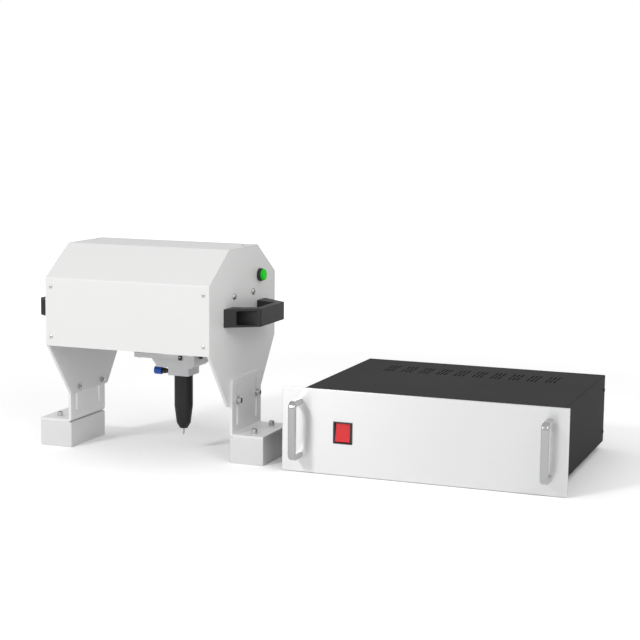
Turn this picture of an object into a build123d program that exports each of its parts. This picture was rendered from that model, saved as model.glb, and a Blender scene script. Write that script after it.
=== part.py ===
from build123d import *
import os
from math import cos, radians, sqrt

os.makedirs("parts", exist_ok=True)

# Lengths are in millimetres. X runs to the right along the cover, Y to the back and Z up from the table.
# While the pieces are drawn, X starts at the outer face of the left side plate and Y at the front of the
# cover. The save function at the end of this part moves them all to the middle of the whole machine.

# Marking head: side plates and cover
head_length = 306.0
head_depth = 281.0
cover_bottom = 195.0
cover_height = 170.0
slant_drop = 53.5
slant_depth = 80.0
plate_thickness = 5.0
cover_thickness = 1.5
bend_radius = 3.0
leg_bottom = 97.0
leg_setback = 2.5
leg_width = 130.0
leg_corner_radius = 9.0
cover_screw_end_inset = 10.5
cover_screw_edge_inset = 15.5
top_screw_setback = 19.5
lug_size = 12.0

# Feet: blocks, brackets and the slots that set the head's height
foot_setback = 5.0
foot_depth = 124.0
foot_width = 62.0
block_height = 45.0
block_edge_radius = 1.0
bracket_thickness = 5.0
bracket_rise = 94.0
bracket_corner_radius = 10.0
bracket_bend_radius = 8.0
slot_spacing = 82.0
slot_width = 6.6
slot_start_rise = 13.0
slot_length = 70.0
slot_corner_share = 0.48
clamp_rise = 9.0
slide_gap = 0.1
foot_bolt_spacing = 76.0
foot_bolt_reach = 36.0
foot_bolt_head_height = 8.0

# Bridge handles on the side plates
handle_setback = 4.0
left_handle_shift = 24.0
handle_height_share = 41 / 170
handle_height = 31.0
handle_grip_span = 104.0
handle_end_reach = 38.0
handle_reach = 52.0
handle_grip_thickness = 13.0
handle_gap_inset = 14.0
handle_gap_flare = 15.0
handle_rim = 3.5
handle_floor = 6.0
handle_pocket_length = 22.0
handle_screw_inset = 24.0
handle_corner_radius = 5.0
handle_edge_radius = 1.2
handle_pocket_radius = 2.5

# Start button
button_back_inset = 72.0
button_height_share = 116 / 170
button_bezel_radius = 11.2
button_bezel_height = 6.5
button_wall = 1.0
button_cap_height = 4.3
button_travel = 3.5
button_barrel_radius = 8.0
button_barrel_length = 26.0
button_cap_edge_radius = 1.4
button_stem_radius = 4.0
button_stem_length = 24.0

# X axis: shafts, carriage and belt
shaft_radius = 6.0
shaft_spacing = 81.0
shaft_height_share = 89.5 / 170
stylus_right_inset = 114.4
stylus_setback = 1.5
carriage_length = 110.0
carriage_thickness = 10.0
carriage_front = 45.0
carriage_back_gap = 10.0
bearing_length = 36.0
bearing_width = 42.0
bearing_under = 16.0
bearing_over = 12.5
bushing_radius = 10.5
bushing_length = 30.0
belt_ahead = 1.0
belt_height_share = 130 / 170
belt_width = 10.0
belt_thickness = 1.6
pulley_radius = 9.0
pulley_flange_radius = 11.5
pulley_flange_thickness = 1.2
pulley_end_inset = 31.0
belt_clamp_length = 20.0
belt_clamp_wall = 4.0
idler_axle_radius = 2.5
motor_shaft_reach = 11.0
motor_width = 42.0
motor_length = 34.0
motor_boss_radius = 11.0
motor_shaft_radius = 2.5
motor_corner = 5.0
motor_bracket_thickness = 4.0

# Y axis: end plates, rods, lead screw and slide
end_plate_thickness = 8.0
end_plate_drop = 54.0
rod_radius = 5.0
rod_spacing = 72.0
rod_height_share = 27 / 170
screw_radius = 4.0
slide_width = 96.0
slide_depth = 76.0
slide_height = 28.0
riser_width = 62.0
riser_depth = 50.0

# Stylus plate and holder, seen below the cover
stylus_plate_left_reach = 86.1
stylus_plate_right_reach = 31.4
stylus_plate_front_reach = 22.0
stylus_plate_depth = 60.0
stylus_plate_drop = 30.5
stylus_plate_thickness = 8.5
stylus_plate_corner = 1.5
holder_width = 39.0
holder_depth = 44.0
holder_height = 28.0
holder_clamp_height = 13.5
holder_left_reach = 42.6
holder_slant = 9.0
holder_slant_rise = 3.0
holder_curve_radius = 11.5
sensor_reach = 4.4
sensor_width = 6.0
sensor_height = 8.0
sensor_depth = 3.0

# Stylus: body, pin and return spring
stylus_radius = 16.3
stylus_neck_radius = 11.0
stylus_neck_length = 20.0
stylus_straight_length = 55.5
stylus_taper_length = 31.0
stylus_taper_radius = 12.4
stylus_nose_length = 9.0
stylus_nose_radius = 7.0
stylus_top_edge = 0.3
stylus_shoulder_round = 31.0
stylus_nose_round = 4.5
pin_radius = 1.7
pin_reach = 14.0
pin_cone_length = 5.0
pin_point_radius = 0.3
piston_radius = 6.0
piston_height = 8.0
chamber_floor = 11.0
chamber_height = 66.0
spring_inner_radius = 2.5
spring_outer_radius = 5.4

# Air fitting on the holder
fitting_front_inset = 7.5
fitting_rise = 6.5
fitting_neck_radius = 4.0
fitting_neck_length = 8.0
fitting_flange_radius = 5.0
fitting_flange_length = 5.0
fitting_nose_length = 13.5
fitting_bore_radius = 3.1
fitting_bore_depth = 14.0
fitting_thread_length = 5.0
collar_radius = 7.0
collar_length = 13.8
collar_gap = 1.7
collar_edge_radius = 0.9

# Sockets in the back of the head
head_socket_inset = 60.0
head_socket_height_share = 55 / 170
air_inlet_inset = 60.0
air_inlet_height_share = 90 / 170
round_socket_radius = 11.0
round_socket_flange = 28.0
round_socket_flange_thickness = 2.0
round_socket_reach = 6.0
round_socket_depth = 14.0
round_socket_recess = 4.5
round_socket_wall = 1.0
air_inlet_wall = 4.0

# Controller: panel, chassis and feet
controller_gap = 40.1
panel_front = 69.6
panel_width = 482.6
panel_height = 142.0
panel_thickness = 4.0
panel_lift = 1.0
panel_edge_radius = 0.8
panel_overhang = 18.3
panel_top_margin = 10.0
chassis_depth = 387.0
chassis_lift = 13.0
sheet_thickness = 1.5
tray_flange = 22.0
rear_flange = 13.0
rubber_foot_radius = 10.0
rubber_foot_inset = 32.0
side_screw_inset = 6.0
side_screw_low = 18.5
side_screw_top_inset = 26.0

# Vent slots in the top cover
vent_groups = 10
vent_group_pitch = 32.9
vent_columns = 3
vent_column_pitch = 7.2
vent_rows = 2
vent_row_pitch = 32.5
vent_slot_length = 27.0
vent_slot_width = 2.6
vent_back_inset = 60.0

# Rack handles
rack_handle_inset = 30.5
rack_handle_lift = 24.0
rack_handle_margin = 42.0
rack_handle_reach = 37.5
rack_handle_width = 13.0
rack_handle_thickness = 10.0
rack_handle_corner_radius = 13.0
rack_handle_edge_radius = 3.5

# Rocker switch
switch_inset = 107.5
switch_lift = 0.5
switch_bezel_width = 33.0
switch_bezel_height = 36.6
switch_bezel_thickness = 2.0
switch_bezel_edge_radius = 0.5
switch_depth = 22.0
switch_cavity_gap = 2.6
switch_cutout_margin = 3.0
rocker_width = 25.6
rocker_radius = 16.0
rocker_pivot_depth = 4.0
rocker_end_rise = 5.5
rocker_valley_rise = 4.2
rocker_back_rise = 6.0
rocker_gap = 0.4
rocker_tilt = 8.0
rocker_edge_radius = 0.4

# Fan in the rear panel
fan_size = 80.0
fan_thickness = 25.0
fan_bore_radius = 38.0
fan_hub_radius = 16.0
fan_blades = 7
fan_blade_gap = 0.8
fan_blade_thickness = 1.6
fan_blade_pitch = 32.0
fan_spokes = 4
fan_spoke_width = 4.0
fan_spoke_thickness = 3.0
fan_corner_radius = 3.0
fan_core_radius = 2.5
fan_core_length = 12.5
fan_guard_rings = 4
fan_guard_wire = 1.6
fan_inset = 148.6
fan_screw_spacing = 71.5

# Mains inlet and lead sockets in the rear panel
inlet_inset = 42.4
inlet_width = 50.0
inlet_height = 30.0
inlet_flange_thickness = 3.0
inlet_body_width = 27.0
inlet_body_height = 20.0
inlet_body_depth = 24.0
inlet_wall = 2.0
inlet_cavity_depth = 17.0
inlet_pin_length = 12.0
inlet_pin_width = 4.0
inlet_pin_thickness = 2.0
inlet_pin_spacing = 7.0
inlet_pin_rise = 1.75
inlet_rise = 32.0
lead_socket_shares = [25 / 51, 34 / 51]

# Electronics and valve in the controller
supply_width = 99.0
supply_depth = 159.0
supply_height = 42.0
supply_right_inset = 20.0
supply_back_inset = 33.0
supply_terminal_depth = 14.0
supply_terminal_height = 16.0
board_width = 150.0
board_depth = 110.0
board_thickness = 1.6
board_standoff = 8.0
board_standoff_radius = 3.0
board_left_inset = 40.0
board_front_inset = 60.0
board_hole_inset = 6.0
chip_count = 3
chip_size = 14.0
chip_height = 2.0
connector_length = 21.0
connector_width = 7.0
connector_height = 7.0
capacitor_radius = 5.0
capacitor_height = 14.0
driver_count = 2
driver_width = 33.0
driver_depth = 96.0
driver_height = 62.0
driver_gap = 22.0
driver_left_inset = 215.0
driver_front_inset = 60.0
driver_fins = 6
driver_fin_depth = 5.0
valve_width = 26.0
valve_depth = 60.0
valve_height = 32.0
valve_coil_radius = 11.0
valve_coil_height = 26.0
valve_left_inset = 60.0
valve_front_inset = 230.0

# Clearances and the overrun of cuts
running_gap = 0.05
screw_gap = 0.15
chamber_gap = 0.3
cut_overrun = 1.0

# Screws: shank and head radii, head height and driver recess, by thread size
m3_shank = 1.5
m3_head = 3.0
m3_rise = 1.6
m3_recess = 1.0
m4_shank = 2.0
m4_head = 3.5
m4_rise = 4.0
m4_recess = 1.7
m5_shank = 2.5
m5_head = 4.5
m5_rise = 5.0
m5_recess = 2.2
m6_shank = 3.0
m6_head = 5.0
m6_rise = 6.0
m6_recess = 2.8
pan_head = 6.0
pan_rise = 3.4
m3 = {"shank": m3_shank, "head": m3_head, "rise": m3_rise, "recess": m3_recess}
m4 = {"shank": m4_shank, "head": m4_head, "rise": m4_rise, "recess": m4_recess}
m5 = {"shank": m5_shank, "head": m5_head, "rise": m5_rise, "recess": m5_recess}
m6 = {"shank": m6_shank, "head": m6_head, "rise": m6_rise, "recess": m6_recess}
m6_pan = {"shank": m6_shank, "head": pan_head, "rise": pan_rise, "recess": m6_recess}
cover_screw_length = 8.0
shaft_screw_length = 18.0
handle_screw_length = 11.0
clamp_screw_length = 18.0
foot_bolt_length = 24.0
rack_screw_length = 16.0
plate_screw_length = 10.0
recess_share = 0.5
fin_start_share = 0.25
chip_share = 0.2
connector_share = 0.125
capacitor_share = 0.8
washer_radius = 6.5
washer_thickness = 1.6
nut_radius = 5.5
nut_height = 5.0

# Places on the head, worked out from the sizes above
head_height = cover_bottom + cover_height
crease_height = head_height - slant_drop
plate_inner_left = plate_thickness
plate_inner_right = head_length - plate_thickness
top_screw_depth = head_depth / 2 + top_screw_setback
leg_front = (head_depth - leg_width) / 2 + leg_setback
foot_front = leg_front + foot_setback
foot_middle = foot_front + foot_depth / 2
slot_places = [foot_middle - slot_spacing / 2, foot_middle + slot_spacing / 2]
bracket_inner = head_length + slide_gap
bracket_top = block_height + bracket_thickness + bracket_rise
clamp_height = leg_bottom + clamp_rise
handle_middle = leg_front + leg_width / 2 + handle_setback
left_handle_middle = handle_middle - left_handle_shift
handle_bottom = cover_bottom + cover_height * handle_height_share
handle_foot_span = handle_grip_span + handle_end_reach * 2
handle_screw_spacing = handle_foot_span - handle_screw_inset * 2
handle_gap_at_grip = handle_grip_span - handle_gap_inset * 2
handle_gap_at_plate = handle_gap_at_grip + handle_gap_flare * 2
button_depth = head_depth - button_back_inset
button_height = cover_bottom + cover_height * button_height_share
head_socket_height = cover_bottom + cover_height * head_socket_height_share
air_inlet_across = head_length - air_inlet_inset
air_inlet_height = cover_bottom + cover_height * air_inlet_height_share

# Places on the X and Y axes
shaft_front = (head_depth - shaft_spacing) / 2
shaft_height = cover_bottom + cover_height * shaft_height_share
stylus_across = head_length - stylus_right_inset
stylus_depth = head_depth / 2 + stylus_setback
carriage_depth = head_depth - carriage_front - motor_length - carriage_back_gap
belt_across = stylus_depth - belt_ahead
belt_height = cover_bottom + cover_height * belt_height_share
rod_height = cover_bottom + cover_height * rod_height_share
shaft_places = [shaft_front, shaft_front + shaft_spacing]
carriage_left = stylus_across - carriage_length / 2
carriage_right = stylus_across + carriage_length / 2
carriage_back = carriage_front + carriage_depth
carriage_top = shaft_height - bearing_under
carriage_bottom = carriage_top - carriage_thickness
bearing_top = shaft_height + bearing_over
slide_bottom = rod_height - slide_height / 2

# Places on the stylus plate, the holder and the stylus
stylus_plate_left = stylus_across - stylus_plate_left_reach
stylus_plate_right = stylus_across + stylus_plate_right_reach
stylus_plate_front = stylus_depth - stylus_plate_front_reach
stylus_plate_bottom = cover_bottom - stylus_plate_drop
stylus_plate_top = stylus_plate_bottom + stylus_plate_thickness
stylus_plate_back = stylus_plate_front + stylus_plate_depth
holder_bottom = stylus_plate_bottom - holder_height
holder_step = holder_bottom + holder_clamp_height
holder_left = stylus_across - holder_left_reach
holder_slant_start = holder_step + holder_slant_rise
sensor_across = stylus_across + sensor_reach
stylus_straight_end = holder_bottom - stylus_straight_length
stylus_taper_end = stylus_straight_end - stylus_taper_length
stylus_nose_end = stylus_taper_end - stylus_nose_length
pin_tip = stylus_nose_end - pin_reach
chamber_bottom = stylus_nose_end + chamber_floor
fitting_height = holder_bottom + fitting_rise

# Places on the controller
panel_left = head_length + foot_width + controller_gap
panel_right = panel_left + panel_width
panel_middle = panel_left + panel_width / 2
panel_back = panel_front + panel_thickness
rack_handle_height = panel_height - rack_handle_margin
rack_handle_middle = panel_lift + rack_handle_lift + rack_handle_height / 2
switch_across = panel_left + switch_inset
switch_height = panel_lift + panel_height / 2 + switch_lift
chassis_width = panel_width - panel_overhang * 2
chassis_height = panel_lift + panel_height - panel_top_margin - chassis_lift
chassis_left = panel_middle - chassis_width / 2
chassis_right = chassis_left + chassis_width
chassis_bottom = chassis_lift
chassis_top = chassis_bottom + chassis_height
chassis_back = panel_back + chassis_depth
tray_top = chassis_bottom + sheet_thickness
fan_across = chassis_left + fan_inset
inlet_across = chassis_right - inlet_inset

# The whole machine
whole_left = -foot_width
whole_right = panel_right
whole_front = -m3["rise"]
whole_back = chassis_back + round_socket_reach + round_socket_flange_thickness
whole_middle = ((whole_left + whole_right) / 2, (whole_front + whole_back) / 2)


def block(low, high):
    """A box between two opposite corners."""
    size = [far - near for near, far in zip(low, high)]
    return Pos(*low) * Box(*size, align=(Align.MIN, Align.MIN, Align.MIN))


def bar(start, end, radius):
    """A round bar from one point to another."""
    run = Vector(*end) - Vector(*start)
    place = Plane(origin=start, z_dir=run.normalized())
    return place * Cylinder(radius, run.length, align=(Align.CENTER, Align.CENTER, Align.MIN))


def slab_x(corners, near, far, radii=None):
    """A plate square to X, from the (y, z) corners of its outline."""
    path = FilletPolyline(*corners, radius=radii, close=True) if radii else Polyline(*corners, close=True)
    return extrude(Plane.YZ.offset(near) * make_face(path), amount=far - near)


def slab_y(corners, near, far, radii=None):
    """A plate square to Y, from the (x, z) corners of its outline."""
    path = FilletPolyline(*corners, radius=radii, close=True) if radii else Polyline(*corners, close=True)
    return extrude(Plane.XZ.offset(-near) * make_face(path), amount=near - far)


def ring(start, end, outer, inner):
    """A round sleeve along an axis."""
    return bar(start, end, outer) - bar(start, end, inner)


def step(point, direction, distance):
    """The point that lies a distance along a direction."""
    return tuple(place + way * distance for place, way in zip(point, direction))


def screws(places, size, length, rise=None):
    """Socket screws: each place is the seat under the head and the way that the shank runs."""
    solids = []
    head_rise = rise or size["rise"]
    for seat, into in places:
        crown = step(seat, into, -head_rise)
        screw = bar(crown, seat, size["head"]) + bar(seat, step(seat, into, length), size["shank"])
        recess = extrude(RegularPolygon(size["recess"], 6), amount=head_rise * recess_share)
        solids.append(screw - Plane(origin=crown, z_dir=into) * recess)
    return solids


def drilled(piece, places, size, length):
    """The piece with a hole for each of these screws."""
    for seat, into in places:
        start = step(seat, into, -cut_overrun)
        piece -= bar(start, step(seat, into, length + cut_overrun), size["shank"] + screw_gap)
    return piece


def other_side(piece):
    """The same piece on the other end of the head."""
    return mirror(piece, about=Plane.YZ.offset(head_length / 2))


def save(node, *solids):
    """Write one sub-part, moved to the middle of the whole machine and standing on the table."""
    pieces = [solid for shape in solids for solid in shape.solids()]
    shape = pieces[0] if len(pieces) == 1 else Compound(children=pieces)
    export_step(Pos(-whole_middle[0], -whole_middle[1], 0) * shape, f"parts/{node}.step")


# Cover and side plates

def head_profile(inset):
    """The cover's cross-section across X, drawn in by inset, with its bends rounded."""
    low = cover_bottom - inset
    corners = [
        (0, low),
        (0, crease_height),
        (slant_depth, head_height),
        (head_depth - slant_depth, head_height),
        (head_depth, crease_height),
        (head_depth, low),
    ]
    face = make_face(Polyline(*corners, close=True))
    if inset:
        face = offset(face, amount=-inset, kind=Kind.INTERSECTION)
    bends = [corner for corner in face.vertices() if corner.Y > cover_bottom + bend_radius]
    return Plane.YZ * fillet(bends, bend_radius - inset)


def cover_shell():
    """One bent sheet, open below, whose ends lie over the edges of the side plates."""
    return extrude(head_profile(0), head_length) - extrude(head_profile(cover_thickness), head_length)


def side_plate(near):
    """An octagonal plate inside the cover with a leg that tapers down from the cover's edge."""
    upper = extrude(Pos(near, 0, 0) * head_profile(cover_thickness), plate_thickness)
    corners = [
        (cover_thickness, cover_bottom),
        (head_depth - cover_thickness, cover_bottom),
        (leg_front + leg_width, leg_bottom),
        (leg_front, leg_bottom),
    ]
    leg = slab_x(corners, near, near + plate_thickness, [0, 0, leg_corner_radius, leg_corner_radius])
    return upper + leg


def cover_screw_places():
    """Seats of the small screws through the cover: two in front, two behind and one on top at each end."""
    places = []
    for across in (cover_screw_end_inset, head_length - cover_screw_end_inset):
        for height in (cover_bottom + cover_screw_edge_inset, crease_height - cover_screw_edge_inset):
            places.append(((across, 0, height), (0, 1, 0)))
            places.append(((across, head_depth, height), (0, -1, 0)))
        places.append(((across, top_screw_depth, head_height), (0, 0, -1)))
    return places


def cover_lugs():
    """Threaded blocks on the side plates, which the cover's screws go into."""
    lugs = []
    for seat, into in cover_screw_places():
        outer = step(seat, into, cover_thickness)
        low = [place - lug_size / 2 for place in outer]
        high = [place + lug_size / 2 for place in outer]
        low[0] = plate_inner_left if seat[0] < head_length / 2 else plate_inner_right - lug_size
        high[0] = low[0] + lug_size
        for axis, way in enumerate(into):
            if way > 0:
                low[axis], high[axis] = outer[axis], outer[axis] + lug_size
            if way < 0:
                low[axis], high[axis] = outer[axis] - lug_size, outer[axis]
        lugs.append(drilled(block(low, high), [(seat, into)], m3, cover_screw_length))
    return lugs


# X shafts and the pan screws that hold them between the side plates

def shaft_screw_places():
    """Seats of the pan screws on the outer faces of the two side plates."""
    places = []
    for depth in shaft_places:
        places.append(((0, depth, shaft_height), (1, 0, 0)))
        places.append(((head_length, depth, shaft_height), (-1, 0, 0)))
    return places


def x_shafts():
    """Two hardened shafts, tapped at both ends."""
    shafts = []
    for depth in shaft_places:
        start = (plate_inner_left, depth, shaft_height)
        shaft = bar(start, (plate_inner_right, depth, shaft_height), shaft_radius)
        shafts.append(drilled(shaft, shaft_screw_places(), m6_pan, shaft_screw_length))
    return shafts


# Bridge handles

def handle_screw_places(middle):
    """Seats of the two screws at the bottom of a right handle's pockets, from the depth of its middle."""
    height = handle_bottom + handle_height / 2
    depths = [middle - handle_screw_spacing / 2, middle + handle_screw_spacing / 2]
    return [((head_length + handle_floor, depth, height), (-1, 0, 0)) for depth in depths]


def handle(middle):
    """A right handle: slanted ends with a pocket for each screw, a straight grip and a gap for the hand."""
    inner_reach = handle_reach - handle_grip_thickness
    outer = [
        (head_length, middle - handle_foot_span / 2),
        (head_length + handle_reach, middle - handle_grip_span / 2),
        (head_length + handle_reach, middle + handle_grip_span / 2),
        (head_length, middle + handle_foot_span / 2),
    ]
    gap = [
        (head_length - cut_overrun, middle - handle_gap_at_plate / 2),
        (head_length + inner_reach, middle - handle_gap_at_grip / 2),
        (head_length + inner_reach, middle + handle_gap_at_grip / 2),
        (head_length - cut_overrun, middle + handle_gap_at_plate / 2),
    ]
    plan = make_face(Polyline(*outer, close=True)) - make_face(Polyline(*gap, close=True))
    body = extrude(Plane.XY.offset(handle_bottom) * plan, handle_height)
    ends = body.edges().filter_by(Axis.Z).group_by(Axis.X)[-1]
    body = fillet(ends, handle_corner_radius)
    level = body.edges() - body.edges().filter_by(Axis.Z)
    rims = [edge for edge in level if edge.center().X > head_length + handle_floor]
    body = fillet(rims, handle_edge_radius)
    outside = head_length + handle_reach + cut_overrun
    pocket_top = handle_bottom + handle_height - handle_rim
    for seat, into in handle_screw_places(middle):
        low = (seat[0], seat[1] - handle_pocket_length / 2, handle_bottom + handle_rim)
        pocket = block(low, (outside, seat[1] + handle_pocket_length / 2, pocket_top))
        body -= fillet(pocket.edges().filter_by(Axis.X), handle_pocket_radius)
    return drilled(body, handle_screw_places(middle), m5, handle_screw_length)


# Start button

def button_place(across):
    """A point on the button's axis."""
    return (across, button_depth, button_height)


def button_bezel():
    """Black bezel with a recess for the cap, a threaded barrel through the plate and a nut behind it."""
    front = head_length + button_bezel_height
    recess = front - button_travel - chamber_gap
    barrel_end = button_place(plate_inner_right - button_barrel_length)
    body = bar(button_place(head_length), button_place(front), button_bezel_radius)
    body += bar(barrel_end, button_place(head_length), button_barrel_radius)
    nut_end = button_place(plate_inner_right - nut_height)
    body += bar(nut_end, button_place(plate_inner_right), button_bezel_radius)
    body -= bar(button_place(recess), button_place(front + cut_overrun), button_bezel_radius - button_wall)
    stem_hole_end = front - button_stem_length - button_travel - chamber_gap
    return body - bar(button_place(stem_hole_end), button_place(front), button_stem_radius + chamber_gap)


def start_button():
    """Green domed cap on a stem."""
    bezel_front = head_length + button_bezel_height
    cap_radius = button_bezel_radius - button_wall - chamber_gap
    cap = bar(button_place(bezel_front), button_place(bezel_front + button_cap_height), cap_radius)
    rim = cap.edges().filter_by(GeomType.CIRCLE).group_by(Axis.X)[-1]
    cap = fillet(rim, button_cap_edge_radius)
    stem_end = button_place(bezel_front - button_stem_length)
    return cap + bar(stem_end, button_place(bezel_front), button_stem_radius)


# Feet: brackets, blocks and their bolts

def clamp_places():
    """Seats of the right leg's clamp bolts, on washers outside the bracket."""
    seat = bracket_inner + bracket_thickness + slide_gap + washer_thickness
    return [((seat, depth, clamp_height), (-1, 0, 0)) for depth in slot_places]


def clamp_bolts():
    """Bolts, washers and nuts that clamp the right leg to its bracket."""
    solids = screws(clamp_places(), m6, clamp_screw_length)
    for seat, into in clamp_places():
        washer_inner = step(seat, into, washer_thickness)
        solids.append(ring(seat, washer_inner, washer_radius, m6["shank"] + screw_gap))
        face = (plate_inner_right, seat[1], seat[2])
        nut = Plane(origin=face, z_dir=into) * extrude(RegularPolygon(nut_radius, 6), amount=nut_height)
        solids.append(nut - bar(seat, step(seat, into, clamp_screw_length * 2), m6["shank"] + screw_gap))
    return solids


def foot_bolt_places():
    """Seats of the two bolts that hold the right bracket on its block."""
    across = head_length + foot_bolt_reach
    depths = [foot_middle - foot_bolt_spacing / 2, foot_middle + foot_bolt_spacing / 2]
    return [((across, depth, block_height + bracket_thickness), (0, 0, -1)) for depth in depths]


def bracket():
    """The right foot's bracket: a plate bent to an L, with two upright slots in its tall side."""
    outer = head_length + foot_width
    wall = bracket_inner + bracket_thickness
    flange_top = block_height + bracket_thickness
    corners = [
        (bracket_inner, block_height),
        (outer, block_height),
        (outer, flange_top),
        (wall, flange_top),
        (wall, bracket_top),
        (bracket_inner, bracket_top),
    ]
    inside = bracket_bend_radius - bracket_thickness
    body = slab_y(corners, foot_front, foot_front + foot_depth, [bracket_bend_radius, 0, 0, inside, 0, 0])
    top = body.edges().filter_by(Axis.X).group_by(Axis.Z)[-1]
    body = fillet(top, bracket_corner_radius)
    slot_low = block_height + bracket_thickness + slot_start_rise
    for depth in slot_places:
        low = (bracket_inner - cut_overrun, depth - slot_width / 2, slot_low)
        high = (wall + cut_overrun, depth + slot_width / 2, slot_low + slot_length)
        slot = block(low, high)
        body -= fillet(slot.edges().filter_by(Axis.X), slot_width * slot_corner_share)
    return drilled(body, foot_bolt_places(), m6, foot_bolt_length)


def foot_block():
    """The right foot's solid block."""
    low = (head_length, foot_front, 0)
    body = block(low, (head_length + foot_width, foot_front + foot_depth, block_height))
    body = chamfer(body.edges(), block_edge_radius)
    return drilled(body, foot_bolt_places(), m6, foot_bolt_length)


def make_head_frame():
    """Write the head's fixed sub-parts and its feet."""
    holes = shaft_screw_places()
    plate = side_plate(plate_inner_right)
    plate = drilled(plate, holes, m6_pan, shaft_screw_length)
    plate = drilled(plate, clamp_places(), m6, clamp_screw_length)
    right = drilled(plate, handle_screw_places(handle_middle), m5, handle_screw_length)
    left = other_side(drilled(plate, handle_screw_places(left_handle_middle), m5, handle_screw_length))
    hole_end = button_place(head_length + cut_overrun)
    right -= bar(button_place(plate_inner_right - cut_overrun), hole_end, button_barrel_radius + running_gap)
    shell = drilled(cover_shell(), cover_screw_places(), m3, cover_screw_length)
    inside = head_depth - round_socket_depth
    for place in (head_socket_place, air_inlet_place):
        shell -= bar(place(inside), place(head_depth + cut_overrun), round_socket_radius)
    save("side_plate_left", left)
    save("side_plate_right", right)
    save("cover_shell", shell)
    save("cover_lugs", *cover_lugs())
    save("cover_screws", *screws(cover_screw_places(), m3, cover_screw_length))
    save("x_shafts", *x_shafts())
    save("handle_right", handle(handle_middle))
    save("handle_left", other_side(handle(left_handle_middle)))
    handle_screws = screws(handle_screw_places(handle_middle), m5, handle_screw_length)
    left_screws = screws(handle_screw_places(left_handle_middle), m5, handle_screw_length)
    handle_screws += [other_side(screw) for screw in left_screws]
    save("side_screws", *screws(holes, m6_pan, shaft_screw_length), *handle_screws)
    save("button_bezel", button_bezel())
    save("start_button", start_button())
    bolts = clamp_bolts()
    save("clamp_bolts", *bolts, *[other_side(bolt) for bolt in bolts])
    save("bracket_right", bracket())
    save("bracket_left", other_side(bracket()))
    save("foot_block_right", foot_block())
    save("foot_block_left", other_side(foot_block()))
    foot_bolts = screws(foot_bolt_places(), m6, foot_bolt_length, foot_bolt_head_height)
    save("foot_bolts", *foot_bolts, *[other_side(bolt) for bolt in foot_bolts])


# Sockets in the back of the head

def head_socket_place(depth):
    """A point on the axis of the head's lead socket."""
    return (head_socket_inset, depth, head_socket_height)


def air_inlet_place(depth):
    """A point on the axis of the air inlet."""
    return (air_inlet_across, depth, air_inlet_height)


def round_socket(place, back, wall):
    """A round socket with a square flange outside a wall whose outer face is at back."""
    flange_back = back + round_socket_flange_thickness
    mouth = flange_back + round_socket_reach
    middle = place(back)
    half = round_socket_flange / 2
    low = (middle[0] - half, back, middle[2] - half)
    flange = block(low, (middle[0] + half, flange_back, middle[2] + half))
    body = flange + bar(place(back - round_socket_depth), place(mouth), round_socket_radius - screw_gap)
    body -= bar(place(mouth - round_socket_recess), place(mouth + cut_overrun), round_socket_radius - wall)
    return body


# X carriage: plate, bearings and end plates

def bearing_spans():
    """Where each bearing block starts and ends along X, and the depth of its shaft."""
    starts = [carriage_left, carriage_right - bearing_length]
    return [(start, start + bearing_length, depth) for start in starts for depth in shaft_places]


def bearing_blocks():
    """Blocks that hold the bushings on top of the carriage plate."""
    solids = []
    for near, far, depth in bearing_spans():
        low = (near, depth - bearing_width / 2, carriage_top)
        body = block(low, (far, depth + bearing_width / 2, bearing_top))
        solids.append(body - bar((near, depth, shaft_height), (far, depth, shaft_height), bushing_radius))
    return solids


def linear_bushings():
    """Bushings between the bearing blocks and the X shafts."""
    margin = (bearing_length - bushing_length) / 2
    solids = []
    for near, far, depth in bearing_spans():
        start = (near + margin, depth, shaft_height)
        end = (far - margin, depth, shaft_height)
        solids.append(ring(start, end, bushing_radius, shaft_radius + running_gap))
    return solids


def rod_places():
    """Where the two Y rods lie along X."""
    return [stylus_across - rod_spacing / 2, stylus_across + rod_spacing / 2]


def end_plate(near):
    """A plate that hangs from the carriage and carries the Y rods and the lead screw."""
    far = near + end_plate_thickness
    low = (carriage_left, near, carriage_bottom - end_plate_drop)
    body = block(low, (carriage_right, far, carriage_bottom))
    hole = screw_radius + chamber_gap
    return body - bar((stylus_across, near, rod_height), (stylus_across, far, rod_height), hole)


def y_rods():
    """Two rods between the end plates."""
    near = carriage_front + end_plate_thickness
    far = carriage_back - end_plate_thickness
    return [bar((across, near, rod_height), (across, far, rod_height), rod_radius) for across in rod_places()]


def motor(face, outwards, up):
    """A square stepper motor whose mounting face has its centre at face; its shaft points outwards."""
    place = Plane(origin=face, x_dir=up, z_dir=outwards)
    body = Box(motor_width, motor_width, motor_length, align=(Align.CENTER, Align.CENTER, Align.MAX))
    body = chamfer(body.edges().filter_by(Axis.Z), motor_corner)
    bore_depth = motor_shaft_reach + chamber_gap
    radius = motor_shaft_radius + chamber_gap
    bore = Cylinder(radius, bore_depth, align=(Align.CENTER, Align.CENTER, Align.MAX))
    return place * (body - bore)


def lead_screw():
    """The Y motor's screw, from inside the motor to the front end plate."""
    front = (stylus_across, carriage_front, rod_height)
    shoulder = (stylus_across, carriage_back - end_plate_thickness, rod_height)
    back = (stylus_across, carriage_back + motor_shaft_reach, rod_height)
    return bar(front, shoulder, screw_radius) + bar(shoulder, back, motor_shaft_radius)


def slide_block():
    """Block on the Y rods, with a nut bore for the lead screw."""
    low = (stylus_across - slide_width / 2, stylus_depth - slide_depth / 2, slide_bottom)
    back = stylus_depth + slide_depth / 2
    high = (stylus_across + slide_width / 2, back, slide_bottom + slide_height)
    body = block(low, high)
    for across in rod_places():
        body -= bar((across, low[1], rod_height), (across, high[1], rod_height), rod_radius + running_gap)
    nut_front = (stylus_across, low[1], rod_height)
    return body - bar(nut_front, (stylus_across, back, rod_height), screw_radius + chamber_gap)


# Belt drive of the X axis

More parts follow.
